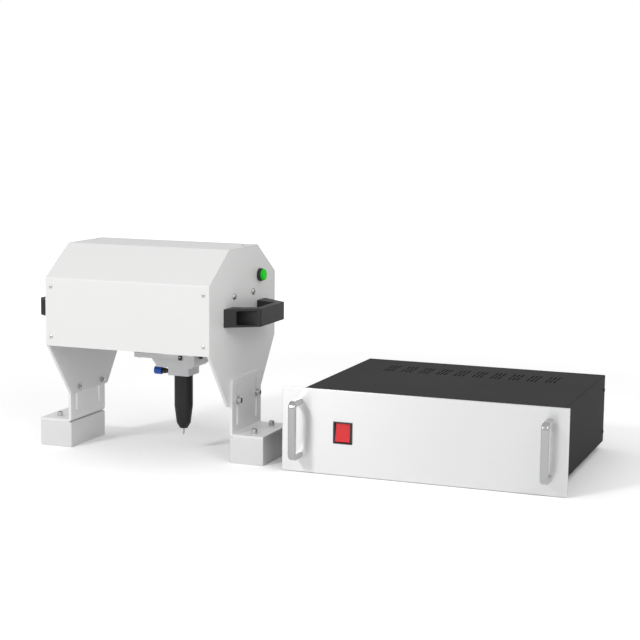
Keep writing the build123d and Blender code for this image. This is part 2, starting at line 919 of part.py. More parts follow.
belt_low = belt_height - pulley_radius - chamber_gap - belt_thickness
pulley_places = [pulley_end_inset, head_length - pulley_end_inset]
pulley_width = belt_width + chamber_gap * 2 + pulley_flange_thickness * 2
pulley_front = belt_across - pulley_width / 2
pulley_back = belt_across + pulley_width / 2
bracket_front = pulley_back + chamber_gap * 4
bracket_back = bracket_front + motor_bracket_thickness


def pulley(across):
    """A flanged pulley about an axis along Y."""
    body = bar((across, pulley_front, belt_height), (across, pulley_back, belt_height), pulley_radius)
    for near in (pulley_front, pulley_back - pulley_flange_thickness):
        rim = (across, near + pulley_flange_thickness, belt_height)
        body += bar((across, near, belt_height), rim, pulley_flange_radius)
    return body


def motor_pulley():
    """The driven pulley with the motor's shaft."""
    across = pulley_places[0]
    shaft_end = (across, bracket_back + motor_shaft_reach, belt_height)
    return pulley(across) + bar((across, pulley_front, belt_height), shaft_end, motor_shaft_radius)


def idler_pulley():
    """The free pulley, bored for its axle."""
    across = pulley_places[1]
    start = (across, pulley_front, belt_height)
    return pulley(across) - bar(start, (across, pulley_back, belt_height), idler_axle_radius + running_gap)


def belt():
    """The belt's loop around both pulleys."""
    inner = pulley_radius + chamber_gap
    outer = inner + belt_thickness
    loops = []
    for radius in (outer, inner):
        length = pulley_places[1] - pulley_places[0] + radius * 2
        middle = (pulley_places[0] + pulley_places[1]) / 2
        loops.append(Pos(middle, belt_height) * SlotOverall(length, radius * 2))
    front = Plane.XZ.offset(belt_width / 2 - belt_across)
    return extrude(front * (loops[0] - loops[1]), amount=-belt_width)


def belt_brackets():
    """The motor's bracket on the left side plate and the idler's bracket, with its axle, on the right one."""
    half = motor_width / 2
    across = pulley_places[0]
    wall_low = (plate_inner_left, bracket_front, belt_height - half)
    left = block(wall_low, (across + half, bracket_back, belt_height + half))
    left -= bar((across, bracket_front, belt_height), (across, bracket_back, belt_height), motor_boss_radius)
    flange_end = bracket_back + motor_length
    flange_far = plate_inner_left + motor_bracket_thickness
    flange_low = (plate_inner_left, bracket_back, belt_height - half)
    left += block(flange_low, (flange_far, flange_end, belt_height + half))
    across = pulley_places[1]
    reach = pulley_flange_radius
    idler_low = (across - reach, bracket_front, belt_height - reach)
    right = block(idler_low, (plate_inner_right, bracket_back, belt_height + reach))
    axle_end = (across, bracket_front, belt_height)
    right += bar((across, pulley_front, belt_height), axle_end, idler_axle_radius)
    return left, right


def belt_clamp():
    """Column on the carriage plate whose jaw closes round the belt's lower run."""
    half = belt_clamp_length / 2
    front = belt_across - belt_width / 2 - chamber_gap - belt_clamp_wall
    back = belt_across + belt_width / 2 + chamber_gap + belt_clamp_wall
    top = belt_low + belt_thickness + chamber_gap + belt_clamp_wall
    body = block((stylus_across - half, front, carriage_top), (stylus_across + half, back, top))
    low = (stylus_across - half, belt_across - belt_width / 2 - chamber_gap, belt_low - chamber_gap)
    slot_back = belt_across + belt_width / 2 + chamber_gap
    high = (stylus_across + half, slot_back, belt_low + belt_thickness + chamber_gap)
    return body - block(low, high)


def make_axes():
    """Write the X and Y axes."""
    carriage_corner = (carriage_left, carriage_front, carriage_bottom)
    save("carriage_plate", block(carriage_corner, (carriage_right, carriage_back, carriage_top)))
    save("bearing_blocks", *bearing_blocks())
    save("linear_bushings", *linear_bushings())
    save("end_plates", end_plate(carriage_front), end_plate(carriage_back - end_plate_thickness))
    save("y_rods", *y_rods())
    save("y_motor", motor((stylus_across, carriage_back, rod_height), (0, -1, 0), (0, 0, 1)))
    save("lead_screw", lead_screw())
    save("slide_block", slide_block())
    save("belt_clamp", belt_clamp())
    save("x_belt", belt())
    save("belt_brackets", *belt_brackets())
    save("motor_pulley", motor_pulley())
    save("idler_pulley", idler_pulley())
    x_motor_place = (pulley_places[0], bracket_back, belt_height)
    save("x_motor", motor(x_motor_place, (0, -1, 0), (0, 0, 1)))
    lead_socket = round_socket(head_socket_place, head_depth, round_socket_wall)
    save("head_sockets", lead_socket, round_socket(air_inlet_place, head_depth, air_inlet_wall))


# Stylus plate, holder and stylus

def stylus_point(height):
    """A point on the stylus's axis."""
    return (stylus_across, stylus_depth, height)


def plate_screw_places():
    """Seats of the black screws: on the plate's left end, and into its right side."""
    back = stylus_plate_front + (holder_depth + stylus_plate_depth) / 2
    side = stylus_plate_bottom + stylus_plate_thickness / 2
    top_seat = (stylus_plate_left + m4["head"] * 2, stylus_plate_front + m4["head"] * 2, stylus_plate_top)
    rear_seat = (stylus_plate_left + m4["head"] * 2, back, stylus_plate_top)
    return [
        (top_seat, (0, 0, -1)),
        (rear_seat, (0, 0, -1)),
        ((stylus_plate_right, stylus_plate_front + holder_depth / 2, side), (-1, 0, 0)),
    ]


def stylus_plate():
    """The flat plate under the riser."""
    low = (stylus_plate_left, stylus_plate_front, stylus_plate_bottom)
    body = block(low, (stylus_plate_right, stylus_plate_back, stylus_plate_top))
    body = chamfer(body.edges().filter_by(Axis.Z), stylus_plate_corner)
    return drilled(body, plate_screw_places(), m4, plate_screw_length)


def riser():
    """The spacer between the slide block and the stylus plate."""
    low = (stylus_across - riser_width / 2, stylus_depth - riser_depth / 2, stylus_plate_top)
    return block(low, (stylus_across + riser_width / 2, stylus_depth + riser_depth / 2, slide_bottom))


def stylus_holder():
    """Wide head under the plate, slanted on the left and rounded on the right, over a narrow clamp block."""
    low_left = stylus_across - holder_width / 2
    low_right = stylus_across + holder_width / 2
    corners = [
        (holder_left - holder_slant, stylus_plate_bottom),
        (holder_left, holder_slant_start),
        (holder_left, holder_step),
        (stylus_plate_right, holder_step),
        (stylus_plate_right, stylus_plate_bottom),
    ]
    body = slab_y(corners, stylus_plate_front, stylus_plate_back)
    low_edge = body.edges().filter_by(Axis.Y).group_by(Axis.X)[-1].sort_by(Axis.Z)[0]
    body = fillet(low_edge, holder_curve_radius)
    clamp_back = stylus_plate_front + holder_depth
    body += block((low_left, stylus_plate_front, holder_bottom), (low_right, clamp_back, holder_step))
    neck_top = holder_bottom + stylus_neck_length + chamber_gap
    body -= bar(stylus_point(holder_bottom), stylus_point(neck_top), stylus_neck_radius + running_gap)
    thread_end = (low_left + fitting_thread_length + chamber_gap, fitting_depth, fitting_height)
    return body - bar((low_left, fitting_depth, fitting_height), thread_end, fitting_neck_radius)


def home_sensor():
    """Small black sensor on the front of the stylus plate and holder."""
    half = sensor_width / 2
    middle = stylus_plate_bottom
    low = (sensor_across - half, stylus_plate_front - sensor_depth, middle)
    return block(low, (sensor_across + half, stylus_plate_front, middle + sensor_height))


def turned(profile):
    """A body turned about the stylus's axis, from its (radius, height) outline."""
    face = make_face(profile)
    return Pos(stylus_across, stylus_depth, 0) * revolve(Plane.XZ * face, Axis.Z)


def stylus_body():
    """Black tapering body with the piston's chamber and a close hole for the pin."""
    corners = [
        (0, holder_bottom + stylus_neck_length),
        (stylus_neck_radius, holder_bottom + stylus_neck_length),
        (stylus_neck_radius, holder_bottom),
        (stylus_radius, holder_bottom),
        (stylus_radius, stylus_straight_end),
        (stylus_taper_radius, stylus_taper_end),
        (stylus_nose_radius, stylus_nose_end),
        (0, stylus_nose_end),
    ]
    radii = [0, 0, 0, stylus_top_edge, stylus_shoulder_round, stylus_nose_round, 0, 0]
    body = turned(FilletPolyline(*corners, radius=radii, close=True))
    chamber_top = chamber_bottom + chamber_height
    body -= bar(stylus_point(chamber_bottom), stylus_point(chamber_top), piston_radius + chamber_gap)
    return body - bar(stylus_point(stylus_nose_end), stylus_point(chamber_bottom), pin_radius + running_gap)


piston_bottom = chamber_bottom + chamber_height - chamber_gap - piston_height


def stylus_pin():
    """Marking pin with a hard cone at its tip and the piston at its top."""
    cone_top = pin_tip + pin_cone_length
    corners = [
        (0, pin_tip),
        (pin_point_radius, pin_tip),
        (pin_radius, cone_top),
        (pin_radius, piston_bottom),
        (piston_radius, piston_bottom),
        (piston_radius, piston_bottom + piston_height),
        (0, piston_bottom + piston_height),
    ]
    return turned(Polyline(*corners, close=True))


def return_spring():
    """The spring's sleeve round the pin, between the chamber's floor and the piston."""
    start = stylus_point(chamber_bottom)
    end = stylus_point(piston_bottom - chamber_gap)
    return ring(start, end, spring_outer_radius, spring_inner_radius)


# Air fitting

fitting_depth = stylus_plate_front + fitting_front_inset
fitting_wall = stylus_across - holder_width / 2
fitting_flange_right = fitting_wall - fitting_neck_length
fitting_flange_left = fitting_flange_right - fitting_flange_length
fitting_mouth = fitting_flange_left - fitting_nose_length - collar_gap


def fitting_point(across):
    """A point on the air fitting's axis."""
    return (across, fitting_depth, fitting_height)


def air_fitting():
    """Threaded neck, flange and nose, bored for the air tube."""
    thread_end = fitting_wall + fitting_thread_length
    body = bar(fitting_point(fitting_mouth), fitting_point(fitting_wall), fitting_neck_radius)
    body += bar(fitting_point(fitting_wall), fitting_point(thread_end), fitting_neck_radius - screw_gap)
    flange_left = fitting_point(fitting_flange_left)
    body += bar(flange_left, fitting_point(fitting_flange_right), fitting_flange_radius)
    bore_end = fitting_point(fitting_mouth + fitting_bore_depth)
    return body - bar(fitting_point(fitting_mouth), bore_end, fitting_bore_radius)


def release_collar():
    """Blue collar over the fitting's nose."""
    right = fitting_point(fitting_flange_left - collar_gap)
    left = fitting_point(fitting_flange_left - collar_gap - collar_length)
    body = bar(left, right, collar_radius)
    body = fillet(body.edges().filter_by(GeomType.CIRCLE), collar_edge_radius)
    return body - bar(left, right, fitting_neck_radius + chamber_gap)


def make_stylus():
    """Write everything that rides on the Y slide below the cover."""
    save("riser", riser())
    save("stylus_plate", stylus_plate())
    save("stylus_holder", stylus_holder())
    save("plate_screws", *screws(plate_screw_places(), m4, plate_screw_length), home_sensor())
    save("stylus_body", stylus_body())
    save("stylus_pin", stylus_pin())
    save("return_spring", return_spring())
    save("air_fitting", air_fitting())
    save("release_collar", release_collar())


# Controller: panel, rack handles and switch

def rack_handle_places():
    """Where the two rack handles stand along X."""
    return [panel_left + rack_handle_inset, panel_right - rack_handle_inset]


def rack_handle_feet():
    """Heights of the middles of a handle's two feet."""
    half = rack_handle_height / 2 - rack_handle_thickness / 2
    return [rack_handle_middle - half, rack_handle_middle + half]


def rack_screw_places(across):
    """Seats of one handle's screws behind the panel and the tray's front wall."""
    return [((across, panel_back, height), (0, -1, 0)) for height in rack_handle_feet()]


def rack_handle(across):
    """A flat bar bent to a U and screwed on from behind."""
    low = rack_handle_middle - rack_handle_height / 2
    high = low + rack_handle_height
    front = panel_front - rack_handle_reach
    inner = front + rack_handle_thickness
    outline = FilletPolyline(
        (panel_front, low), (front, low), (front, high), (panel_front, high),
        radius=[0, rack_handle_corner_radius, rack_handle_corner_radius, 0], close=True,
    )
    gap_corner = rack_handle_corner_radius - rack_handle_thickness
    gap_low = low + rack_handle_thickness
    gap_high = high - rack_handle_thickness
    gap = FilletPolyline(
        (panel_front, gap_low), (inner, gap_low), (inner, gap_high), (panel_front, gap_high),
        radius=[0, gap_corner, gap_corner, 0], close=True,
    )
    near = across - rack_handle_width / 2
    body = extrude(Plane.YZ.offset(near) * (make_face(outline) - make_face(gap)), rack_handle_width)
    sides = body.edges() - body.edges().filter_by(Axis.X)
    rims = [edge for edge in sides if edge.center().Y < panel_front - block_edge_radius]
    body = fillet(rims, rack_handle_edge_radius)
    return drilled(body, rack_screw_places(across), m4, rack_screw_length)


def switch_box(width, height, near, far):
    """A box about the switch's middle, from one depth to another."""
    low = (switch_across - width / 2, near, switch_height - height / 2)
    return block(low, (switch_across + width / 2, far, switch_height + height / 2))


def front_panel():
    """The wide panel, cut out for the switch."""
    low = (panel_left, panel_front, panel_lift)
    body = block(low, (panel_right, panel_back, panel_lift + panel_height))
    body = fillet(body.edges(), panel_edge_radius)
    width = switch_bezel_width - switch_cutout_margin * 2
    height = switch_bezel_height - switch_cutout_margin
    body -= switch_box(width, height, panel_front - cut_overrun, panel_back + cut_overrun)
    for across in rack_handle_places():
        body = drilled(body, rack_screw_places(across), m4, rack_screw_length)
    return body


def switch_body():
    """Black frame in front of the panel and a box behind it, hollow for the rocker."""
    width = switch_bezel_width - switch_cutout_margin * 2 - screw_gap * 2
    height = switch_bezel_height - switch_cutout_margin - screw_gap * 2
    front = panel_front - switch_bezel_thickness
    frame = switch_box(switch_bezel_width, switch_bezel_height, front, panel_front)
    frame = fillet(frame.edges().group_by(Axis.Y)[0], switch_bezel_edge_radius)
    body = frame + switch_box(width, height, panel_front, panel_front + switch_depth)
    opening_width = rocker_width + rocker_gap * 2
    opening_height = (rocker_radius + rocker_gap) * 2
    floor = panel_front + rocker_pivot_depth + rocker_back_rise + switch_cavity_gap
    return body - switch_box(opening_width, opening_height, front, floor)


def rocker():
    """Red rocker: its ends are arcs about the pivot, its face a shallow valley, tilted as it rests."""
    pivot_depth = panel_front + rocker_pivot_depth
    near = switch_across - rocker_width / 2
    far = switch_across + rocker_width / 2
    body = bar((near, pivot_depth, switch_height), (far, pivot_depth, switch_height), rocker_radius)
    reach = rocker_radius * 2
    corners = [
        (-rocker_back_rise, -reach),
        (rocker_end_rise, -reach),
        (rocker_valley_rise, 0),
        (rocker_end_rise, reach),
        (-rocker_back_rise, reach),
    ]
    place = Pos(0, pivot_depth, switch_height) * Rot(-rocker_tilt, 0, 0)
    keep = slab_x([(-rise, height) for rise, height in corners], near, far)
    body = body & (place * keep)
    edges = body.edges().filter_by(Axis.X).group_by(Axis.Y)[0]
    return fillet(edges, rocker_edge_radius)


# Controller: sheet metal

def chassis_tray():
    """Bottom sheet, bent up into the wall behind the front panel and into low side flanges."""
    thick = sheet_thickness
    left = chassis_left + thick
    right = chassis_right - thick
    back = chassis_back - thick
    body = block((left, panel_back, chassis_bottom), (right, back, tray_top))
    body += block((left, panel_back, tray_top), (right, panel_back + thick, chassis_top - thick))
    flange_top = tray_top + tray_flange
    for near in (left, right - thick):
        low = (near, panel_back + thick, tray_top)
        body += block(low, (near + thick, back - rear_flange, flange_top))
    width = switch_bezel_width - switch_cutout_margin * 2
    height = switch_bezel_height - switch_cutout_margin
    body -= switch_box(width, height, panel_back - cut_overrun, panel_back + thick + cut_overrun)
    for across in rack_handle_places():
        for height in rack_handle_feet():
            back_of_wall = (across, panel_back + thick + cut_overrun, height)
            body -= bar((across, panel_back, height), back_of_wall, m4["head"] + screw_gap)
    return body


def vent_slots():
    """Slots in groups along the back of the top: three columns and two rows in each."""
    slots = []
    span = vent_group_pitch * (vent_groups - 1) + vent_column_pitch * (vent_columns - 1)
    first = panel_middle - span / 2
    back = chassis_back - vent_back_inset
    under = chassis_top - sheet_thickness - cut_overrun
    for group in range(vent_groups):
        for column in range(vent_columns):
            for row in range(vent_rows):
                across = first + group * vent_group_pitch + column * vent_column_pitch
                far = back - row * vent_row_pitch
                low = (across - vent_slot_width / 2, far - vent_slot_length, under)
                slots.append(block(low, (across + vent_slot_width / 2, far, chassis_top + cut_overrun)))
    return slots


def side_screw_places():
    """Seats of the screws through the top cover's sides, near the rear panel."""
    places = []
    depth = chassis_back - sheet_thickness - side_screw_inset
    for height in (chassis_bottom + side_screw_low, chassis_top - side_screw_top_inset):
        places.append(((chassis_left, depth, height), (1, 0, 0)))
        places.append(((chassis_right, depth, height), (-1, 0, 0)))
    return places


def top_cover():
    """Top and both sides in one bent sheet, with the vent slots."""
    thick = sheet_thickness
    corners = [
        (chassis_left, chassis_bottom),
        (chassis_left, chassis_top),
        (chassis_right, chassis_top),
        (chassis_right, chassis_bottom),
    ]
    inner = [
        (chassis_left + thick, chassis_bottom - cut_overrun),
        (chassis_left + thick, chassis_top - thick),
        (chassis_right - thick, chassis_top - thick),
        (chassis_right - thick, chassis_bottom - cut_overrun),
    ]
    body = slab_y(corners, panel_back, chassis_back, [0, thick, thick, 0])
    body -= slab_y(inner, panel_back, chassis_back)
    body -= vent_slots()
    return drilled(body, side_screw_places(), m3, cover_screw_length)


def rear_panel():
    """Rear sheet with flanges for the cover's screws, cut out for the fan, the inlet and the sockets."""
    thick = sheet_thickness
    left = chassis_left + thick
    right = chassis_right - thick
    body = block((left, chassis_back - thick, chassis_bottom), (right, chassis_back, chassis_top - thick))
    for near in (left, right - thick):
        low = (near, chassis_back - thick - rear_flange, tray_top)
        body += block(low, (near + thick, chassis_back - thick, chassis_top - thick))
    centre = fan_point(chassis_back)
    body -= bar(fan_point(chassis_back - thick), centre, fan_bore_radius)
    width = inlet_body_width + screw_gap * 2
    height = inlet_body_height + screw_gap * 2
    body -= inlet_box(width, height, chassis_back - thick, chassis_back)
    for place in lead_socket_places():
        body -= bar(place(chassis_back - thick), place(chassis_back), round_socket_radius)
    body = drilled(body, fan_screw_places(), m3, cover_screw_length)
    return drilled(body, side_screw_places(), m3, cover_screw_length)


def rubber_feet():
    """Four rubber feet under the tray."""
    feet = []
    for across in (chassis_left + rubber_foot_inset, chassis_right - rubber_foot_inset):
        for depth in (panel_back + rubber_foot_inset, chassis_back - rubber_foot_inset):
            foot = bar((across, depth, 0), (across, depth, chassis_bottom), rubber_foot_radius)
            feet.append(chamfer(foot.edges().group_by(Axis.Z)[0], block_edge_radius))
    return feet


# Controller: fan, inlet and sockets

def fan_point(depth):
    """A point on the fan's axis."""
    return (fan_across, depth, (tray_top + chassis_top - sheet_thickness) / 2)


fan_back = chassis_back - sheet_thickness
fan_front = fan_back - fan_thickness


def fan_screw_places():
    """Seats of the fan's screws behind the rear panel."""
    half = fan_screw_spacing / 2
    middle = fan_point(chassis_back)
    corners = [(-half, -half), (half, -half), (-half, half), (half, half)]
    return [((middle[0] + across, chassis_back, middle[2] + up), (0, -1, 0)) for across, up in corners]


def fan_frame():
    """Square frame with a round bore, spokes that carry the motor's core and a guard of wire rings."""
    middle = fan_point(fan_front)
    half = fan_size / 2
    low = (middle[0] - half, fan_front, middle[2] - half)
    body = block(low, (middle[0] + half, fan_back, middle[2] + half))
    body = fillet(body.edges().filter_by(Axis.Y), fan_corner_radius)
    body -= bar(fan_point(fan_front), fan_point(fan_back), fan_bore_radius)
    body += bar(fan_point(fan_front), fan_point(fan_front + fan_spoke_thickness), fan_hub_radius)
    body += bar(fan_point(fan_front), fan_point(fan_front + fan_core_length), fan_core_radius)
    place = Plane(origin=middle, x_dir=(1, 0, 0), z_dir=(0, 1, 0))
    reach = fan_bore_radius + fan_blade_gap
    spoke = Box(reach, fan_spoke_width, fan_spoke_thickness, align=(Align.MIN, Align.CENTER, Align.MIN))
    for turn in range(fan_spokes):
        body += place * Rot(0, 0, (turn + 1 / 2) * 360 / fan_spokes) * spoke
    return drilled(body, fan_screw_places(), m3, fan_thickness)


def fan_guard():
    """Wire rings and two cross wires outside the rear panel, with ends at the heads of the fan's screws."""
    centre = Plane(origin=fan_point(chassis_back + fan_guard_wire / 2), z_dir=(0, 1, 0))
    guard = []
    for index in range(fan_guard_rings):
        radius = fan_bore_radius * (index + 1) / fan_guard_rings
        outer = Cylinder(radius + fan_guard_wire / 2, fan_guard_wire)
        guard.append(centre * (outer - Cylinder(radius - fan_guard_wire / 2, fan_guard_wire)))
    screw_distance = fan_screw_spacing / sqrt(2)
    wire_length = (screw_distance - m3["head"] - chamber_gap) * 2
    for turn in (1, 3):
        wire = Rot(0, 0, turn * 360 / 8) * Box(wire_length, fan_guard_wire, fan_guard_wire)
        guard.append(centre * wire)
    return guard[0].fuse(*guard[1:])


def fan_rotor():
    """Hub with pitched blades, on the frame's core."""
    hub_front = fan_front + fan_spoke_thickness + chamber_gap * 2
    hub_back = fan_back - chamber_gap * 2
    body = bar(fan_point(hub_front), fan_point(hub_back), fan_hub_radius)
    depth = hub_back - hub_front
    middle = fan_point((hub_front + hub_back) / 2)
    place = Plane(origin=middle, x_dir=(1, 0, 0), z_dir=(0, 1, 0))
    blade_reach = fan_bore_radius - fan_blade_gap
    chord = depth * cos(radians(fan_blade_pitch))
    root = fan_hub_radius / 2
    blade = Box(blade_reach - root, fan_blade_thickness, chord, align=(Align.MIN, Align.CENTER, Align.CENTER))
    blade = Rot(fan_blade_pitch, 0, 0) * Pos(root, 0, 0) * blade
    for index in range(fan_blades):
        body += place * Rot(0, 0, index * 360 / fan_blades) * blade
    body = body & bar(fan_point(hub_front), fan_point(hub_back), blade_reach)
    bore_end = fan_point(fan_front + fan_core_length + chamber_gap)
    return body - bar(fan_point(hub_front), bore_end, fan_core_radius + running_gap)


def inlet_box(width, height, near, far):
    """A box about the mains inlet's middle, from one depth to another."""
    middle = tray_top + inlet_rise
    low = (inlet_across - width / 2, near, middle - height / 2)
    return block(low, (inlet_across + width / 2, far, middle + height / 2))


def mains_inlet():
    """Flange, hollow body and three flat pins."""
    outer = chassis_back + inlet_flange_thickness
    body = inlet_box(inlet_width, inlet_height, chassis_back, outer)
    body += inlet_box(inlet_body_width, inlet_body_height, chassis_back - inlet_body_depth, chassis_back)
    width = inlet_body_width - inlet_wall * 2
    height = inlet_body_height - inlet_wall * 2
    body -= inlet_box(width, height, outer - inlet_cavity_depth, outer + cut_overrun)
    floor = outer - inlet_cavity_depth
    pin = inlet_box(inlet_pin_thickness, inlet_pin_width, floor, floor + inlet_pin_length)
    for index in (-1, 0, 1):
        rise = inlet_pin_rise if index == 0 else -inlet_pin_rise
        body += Pos(index * inlet_pin_spacing, 0, rise) * pin
    return body


def lead_socket_places():
    """For each lead socket, a function that gives a point on its axis."""
    height = tray_top + inlet_rise
    reach = inlet_across - fan_across
    spots = [fan_across + reach * share for share in lead_socket_shares]
    return [lambda depth, across=across: (across, depth, height) for across in spots]


# Controller: electronics and valve

def power_supply():
    """Sheet case with a terminal strip at its front."""
    right = chassis_right - sheet_thickness - supply_right_inset
    front = chassis_back - supply_back_inset - supply_depth
    low = (right - supply_width, front, tray_top)
    case = block(low, (right, front + supply_depth, tray_top + supply_height))
    strip_low = (right - supply_width, front - supply_terminal_depth, tray_top)
    strip = block(strip_low, (right, front, tray_top + supply_terminal_height))
    return case, strip


def board_box(inset, depth, size, height):
    """A box on the control board, from its left front corner."""
    left = chassis_left + board_left_inset + inset
    front = panel_back + board_front_inset + depth
    base = tray_top + board_standoff + board_thickness
    return block((left, front, base), (left + size[0], front + size[1], base + height))


def control_board():
    """Printed board on four standoffs, with its chips, capacitors and connectors."""
    left = chassis_left + board_left_inset
    front = panel_back + board_front_inset
    base = tray_top + board_standoff
    face = base + board_thickness
    solids = [block((left, front, base), (left + board_width, front + board_depth, face))]
    for across in (left + board_hole_inset, left + board_width - board_hole_inset):
        for depth in (front + board_hole_inset, front + board_depth - board_hole_inset):
            solids.append(bar((across, depth, tray_top), (across, depth, base), board_standoff_radius))
    for index in range(chip_count):
        spot = board_width * chip_share * (index + 1)
        solids.append(board_box(spot, board_depth / 2, (chip_size, chip_size), chip_height))
        connector_size = (connector_length, connector_width)
        solids.append(board_box(spot, board_depth * connector_share, connector_size, connector_height))
        centre = (left + spot + capacitor_radius, front + board_depth * capacitor_share, face)
        solids.append(bar(centre, step(centre, (0, 0, 1), capacitor_height), capacitor_radius))
    return solids


def motor_drivers():
    """Two upright driver cases with cooling fins on one side."""
    solids = []
    front = panel_back + driver_front_inset
    top = tray_top + driver_height
    pitch = driver_depth / driver_fins
    for index in range(driver_count):
        left = chassis_left + driver_left_inset + index * (driver_width + driver_gap)
        right = left + driver_width
        case = block((left, front, tray_top), (right, front + driver_depth, top))
        for fin in range(driver_fins):
            near = front + pitch * (fin + fin_start_share)
            case += block((right, near, tray_top), (right + driver_fin_depth, near + pitch / 2, top))
        solids.append(case)
    return solids


def air_valve():
    """Valve block with its coil on top."""
    left = chassis_left + valve_left_inset
    front = panel_back + valve_front_inset
    low = (left, front, tray_top)
    body = block(low, (left + valve_width, front + valve_depth, tray_top + valve_height))
    foot = (left + valve_width / 2, front + valve_depth / 2, tray_top + valve_height)
    return body + bar(foot, step(foot, (0, 0, 1), valve_coil_height), valve_coil_radius)


def make_controller():
    """Write the controller's sub-parts."""
    left, right = rack_handle_places()
    save("front_panel", front_panel())
    save("rack_handle_left", rack_handle(left))
    save("rack_handle_right", rack_handle(right))
    rack_screws = screws(rack_screw_places(left) + rack_screw_places(right), m4, rack_screw_length)
    save("switch_body", switch_body())
    save("rocker", rocker())
    save("chassis_tray", chassis_tray())
    save("top_cover", top_cover())
    save("rear_panel", rear_panel())
    save("rubber_feet", *rubber_feet())
    side_screws = screws(side_screw_places(), m3, cover_screw_length)
    fan_screws = screws(fan_screw_places(), m3, fan_thickness)
    save("chassis_screws", *side_screws, *rack_screws)
    save("fan_frame", fan_frame())
    save("fan_guard", fan_guard(), *fan_screws)
    save("fan_rotor", fan_rotor())
    save("mains_inlet", mains_inlet())
    sockets = [round_socket(place, chassis_back, round_socket_wall) for place in lead_socket_places()]
    save("lead_sockets", *sockets)
    save("power_supply", *power_supply())
    save("control_board", *control_board())
    save("motor_drivers", *motor_drivers())
    save("air_valve", air_valve())


make_head_frame()
make_axes()
make_stylus()
make_controller()
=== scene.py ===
import math

import bmesh
import bpy
from mathutils import Matrix, Vector


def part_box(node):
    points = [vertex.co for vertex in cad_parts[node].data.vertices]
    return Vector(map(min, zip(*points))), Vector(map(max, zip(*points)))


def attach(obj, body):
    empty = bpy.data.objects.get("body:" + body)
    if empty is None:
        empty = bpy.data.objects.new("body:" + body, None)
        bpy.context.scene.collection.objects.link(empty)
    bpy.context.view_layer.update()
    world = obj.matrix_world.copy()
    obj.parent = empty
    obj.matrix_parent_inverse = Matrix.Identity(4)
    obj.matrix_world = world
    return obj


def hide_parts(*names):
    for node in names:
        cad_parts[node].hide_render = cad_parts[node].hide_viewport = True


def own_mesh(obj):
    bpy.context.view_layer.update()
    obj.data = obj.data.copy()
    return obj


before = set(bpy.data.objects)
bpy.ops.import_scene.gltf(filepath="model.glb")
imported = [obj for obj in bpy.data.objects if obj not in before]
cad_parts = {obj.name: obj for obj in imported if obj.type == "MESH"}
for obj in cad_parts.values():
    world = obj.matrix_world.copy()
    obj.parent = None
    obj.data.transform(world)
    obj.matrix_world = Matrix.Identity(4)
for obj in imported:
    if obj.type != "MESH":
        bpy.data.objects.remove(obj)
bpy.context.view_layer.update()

# Camera
# A long lens stands in front of the machine and to its right, higher than the head, and looks down and
# to the left. Its place and angles come from the corners of the front panel and of the head.

image_pixels = 640
focal_pixels = 1580.907
film_width = 36.0
camera_place = Vector((0.96662, -2.56348, 0.61203))
camera_yaw = -0.3616
camera_pitch = 0.1372
camera_roll = 0.0109
clip_near = 0.05
clip_far = 50


def placed(name, data):
    """A new object of the scene with this data."""
    thing = bpy.data.objects.new(name, data)
    bpy.context.scene.collection.objects.link(thing)
    return thing


ahead = Vector((
    math.sin(camera_yaw) * math.cos(camera_pitch),
    math.cos(camera_yaw) * math.cos(camera_pitch),
    -math.sin(camera_pitch),
))
level_right = Vector((math.cos(camera_yaw), -math.sin(camera_yaw), 0))
level_down = ahead.cross(level_right)
image_right = level_right * math.cos(camera_roll) - level_down * math.sin(camera_roll)
image_down = level_right * math.sin(camera_roll) + level_down * math.cos(camera_roll)
camera_data = bpy.data.cameras.new("camera")
camera_data.sensor_width = film_width
camera_data.lens = film_width * focal_pixels / image_pixels
camera_data.clip_start = clip_near
camera_data.clip_end = clip_far
camera = placed("camera", camera_data)
camera_turn = Matrix((image_right, -image_down, -ahead)).transposed().to_4x4()
camera.matrix_world = Matrix.Translation(camera_place) @ camera_turn
bpy.context.scene.camera = camera

# Studio: light, white surroundings and floor
# A white tent lights the machine from all round, a little less from the right. A lamp high at the front
# left throws the handles' soft shadows on the panel, and a wider, weaker one fills the right side. The
# floor is white paper that keeps the machine's shadow and looks plain white to the camera further off.

tent_strength = 0.68
tent_right_share = 0.05
lamp_aim = Vector((0, 0, 0.15))
lamps = {  # place, watts and width
    "key_lamp": ((-1.3, -2.7, 1.9), 30.0, 0.5),
    "fill_lamp": ((1.9, -1.9, 1.8), 19.0, 1.5),
}
floor_reach = 30.0
floor_colour = (0.95, 0.95, 0.95)
near_lift = 1.29
far_lift = 1.9
near_reach = 0.9
far_reach = 2.4


def feed(tree, place, value):
    """Link a socket to this input, or set the input to a number."""
    if isinstance(value, bpy.types.NodeSocket):
        tree.links.new(value, place)
    else:
        place.default_value = value


def maths(tree, operation, *values):
    """The output of a Math node whose inputs are these numbers or sockets."""
    node = tree.nodes.new("ShaderNodeMath")
    node.operation = operation
    for place, value in zip(node.inputs, values):
        feed(tree, place, value)
    return node.outputs[0]


world = bpy.data.worlds.new("white_tent")
bpy.context.scene.world = world
world.use_nodes = True
tent_tree = world.node_tree
tent = tent_tree.nodes["Background"]
tent.inputs["Color"].default_value = (1, 1, 1, 1)
way = tent_tree.nodes.new("ShaderNodeSeparateXYZ")
tent_tree.links.new(tent_tree.nodes.new("ShaderNodeTexCoord").outputs["Generated"], way.inputs[0])
rightward = maths(tent_tree, "MAXIMUM", way.outputs["X"], 0)
tent_light = maths(tent_tree, "MULTIPLY_ADD", rightward, -tent_strength * tent_right_share, tent_strength)
rays = tent_tree.nodes.new("ShaderNodeLightPath")
seen = maths(tent_tree, "MAXIMUM", rays.outputs["Is Camera Ray"], rays.outputs["Is Transmission Ray"])
tent_tree.links.new(maths(tent_tree, "MAXIMUM", seen, tent_light), tent.inputs["Strength"])

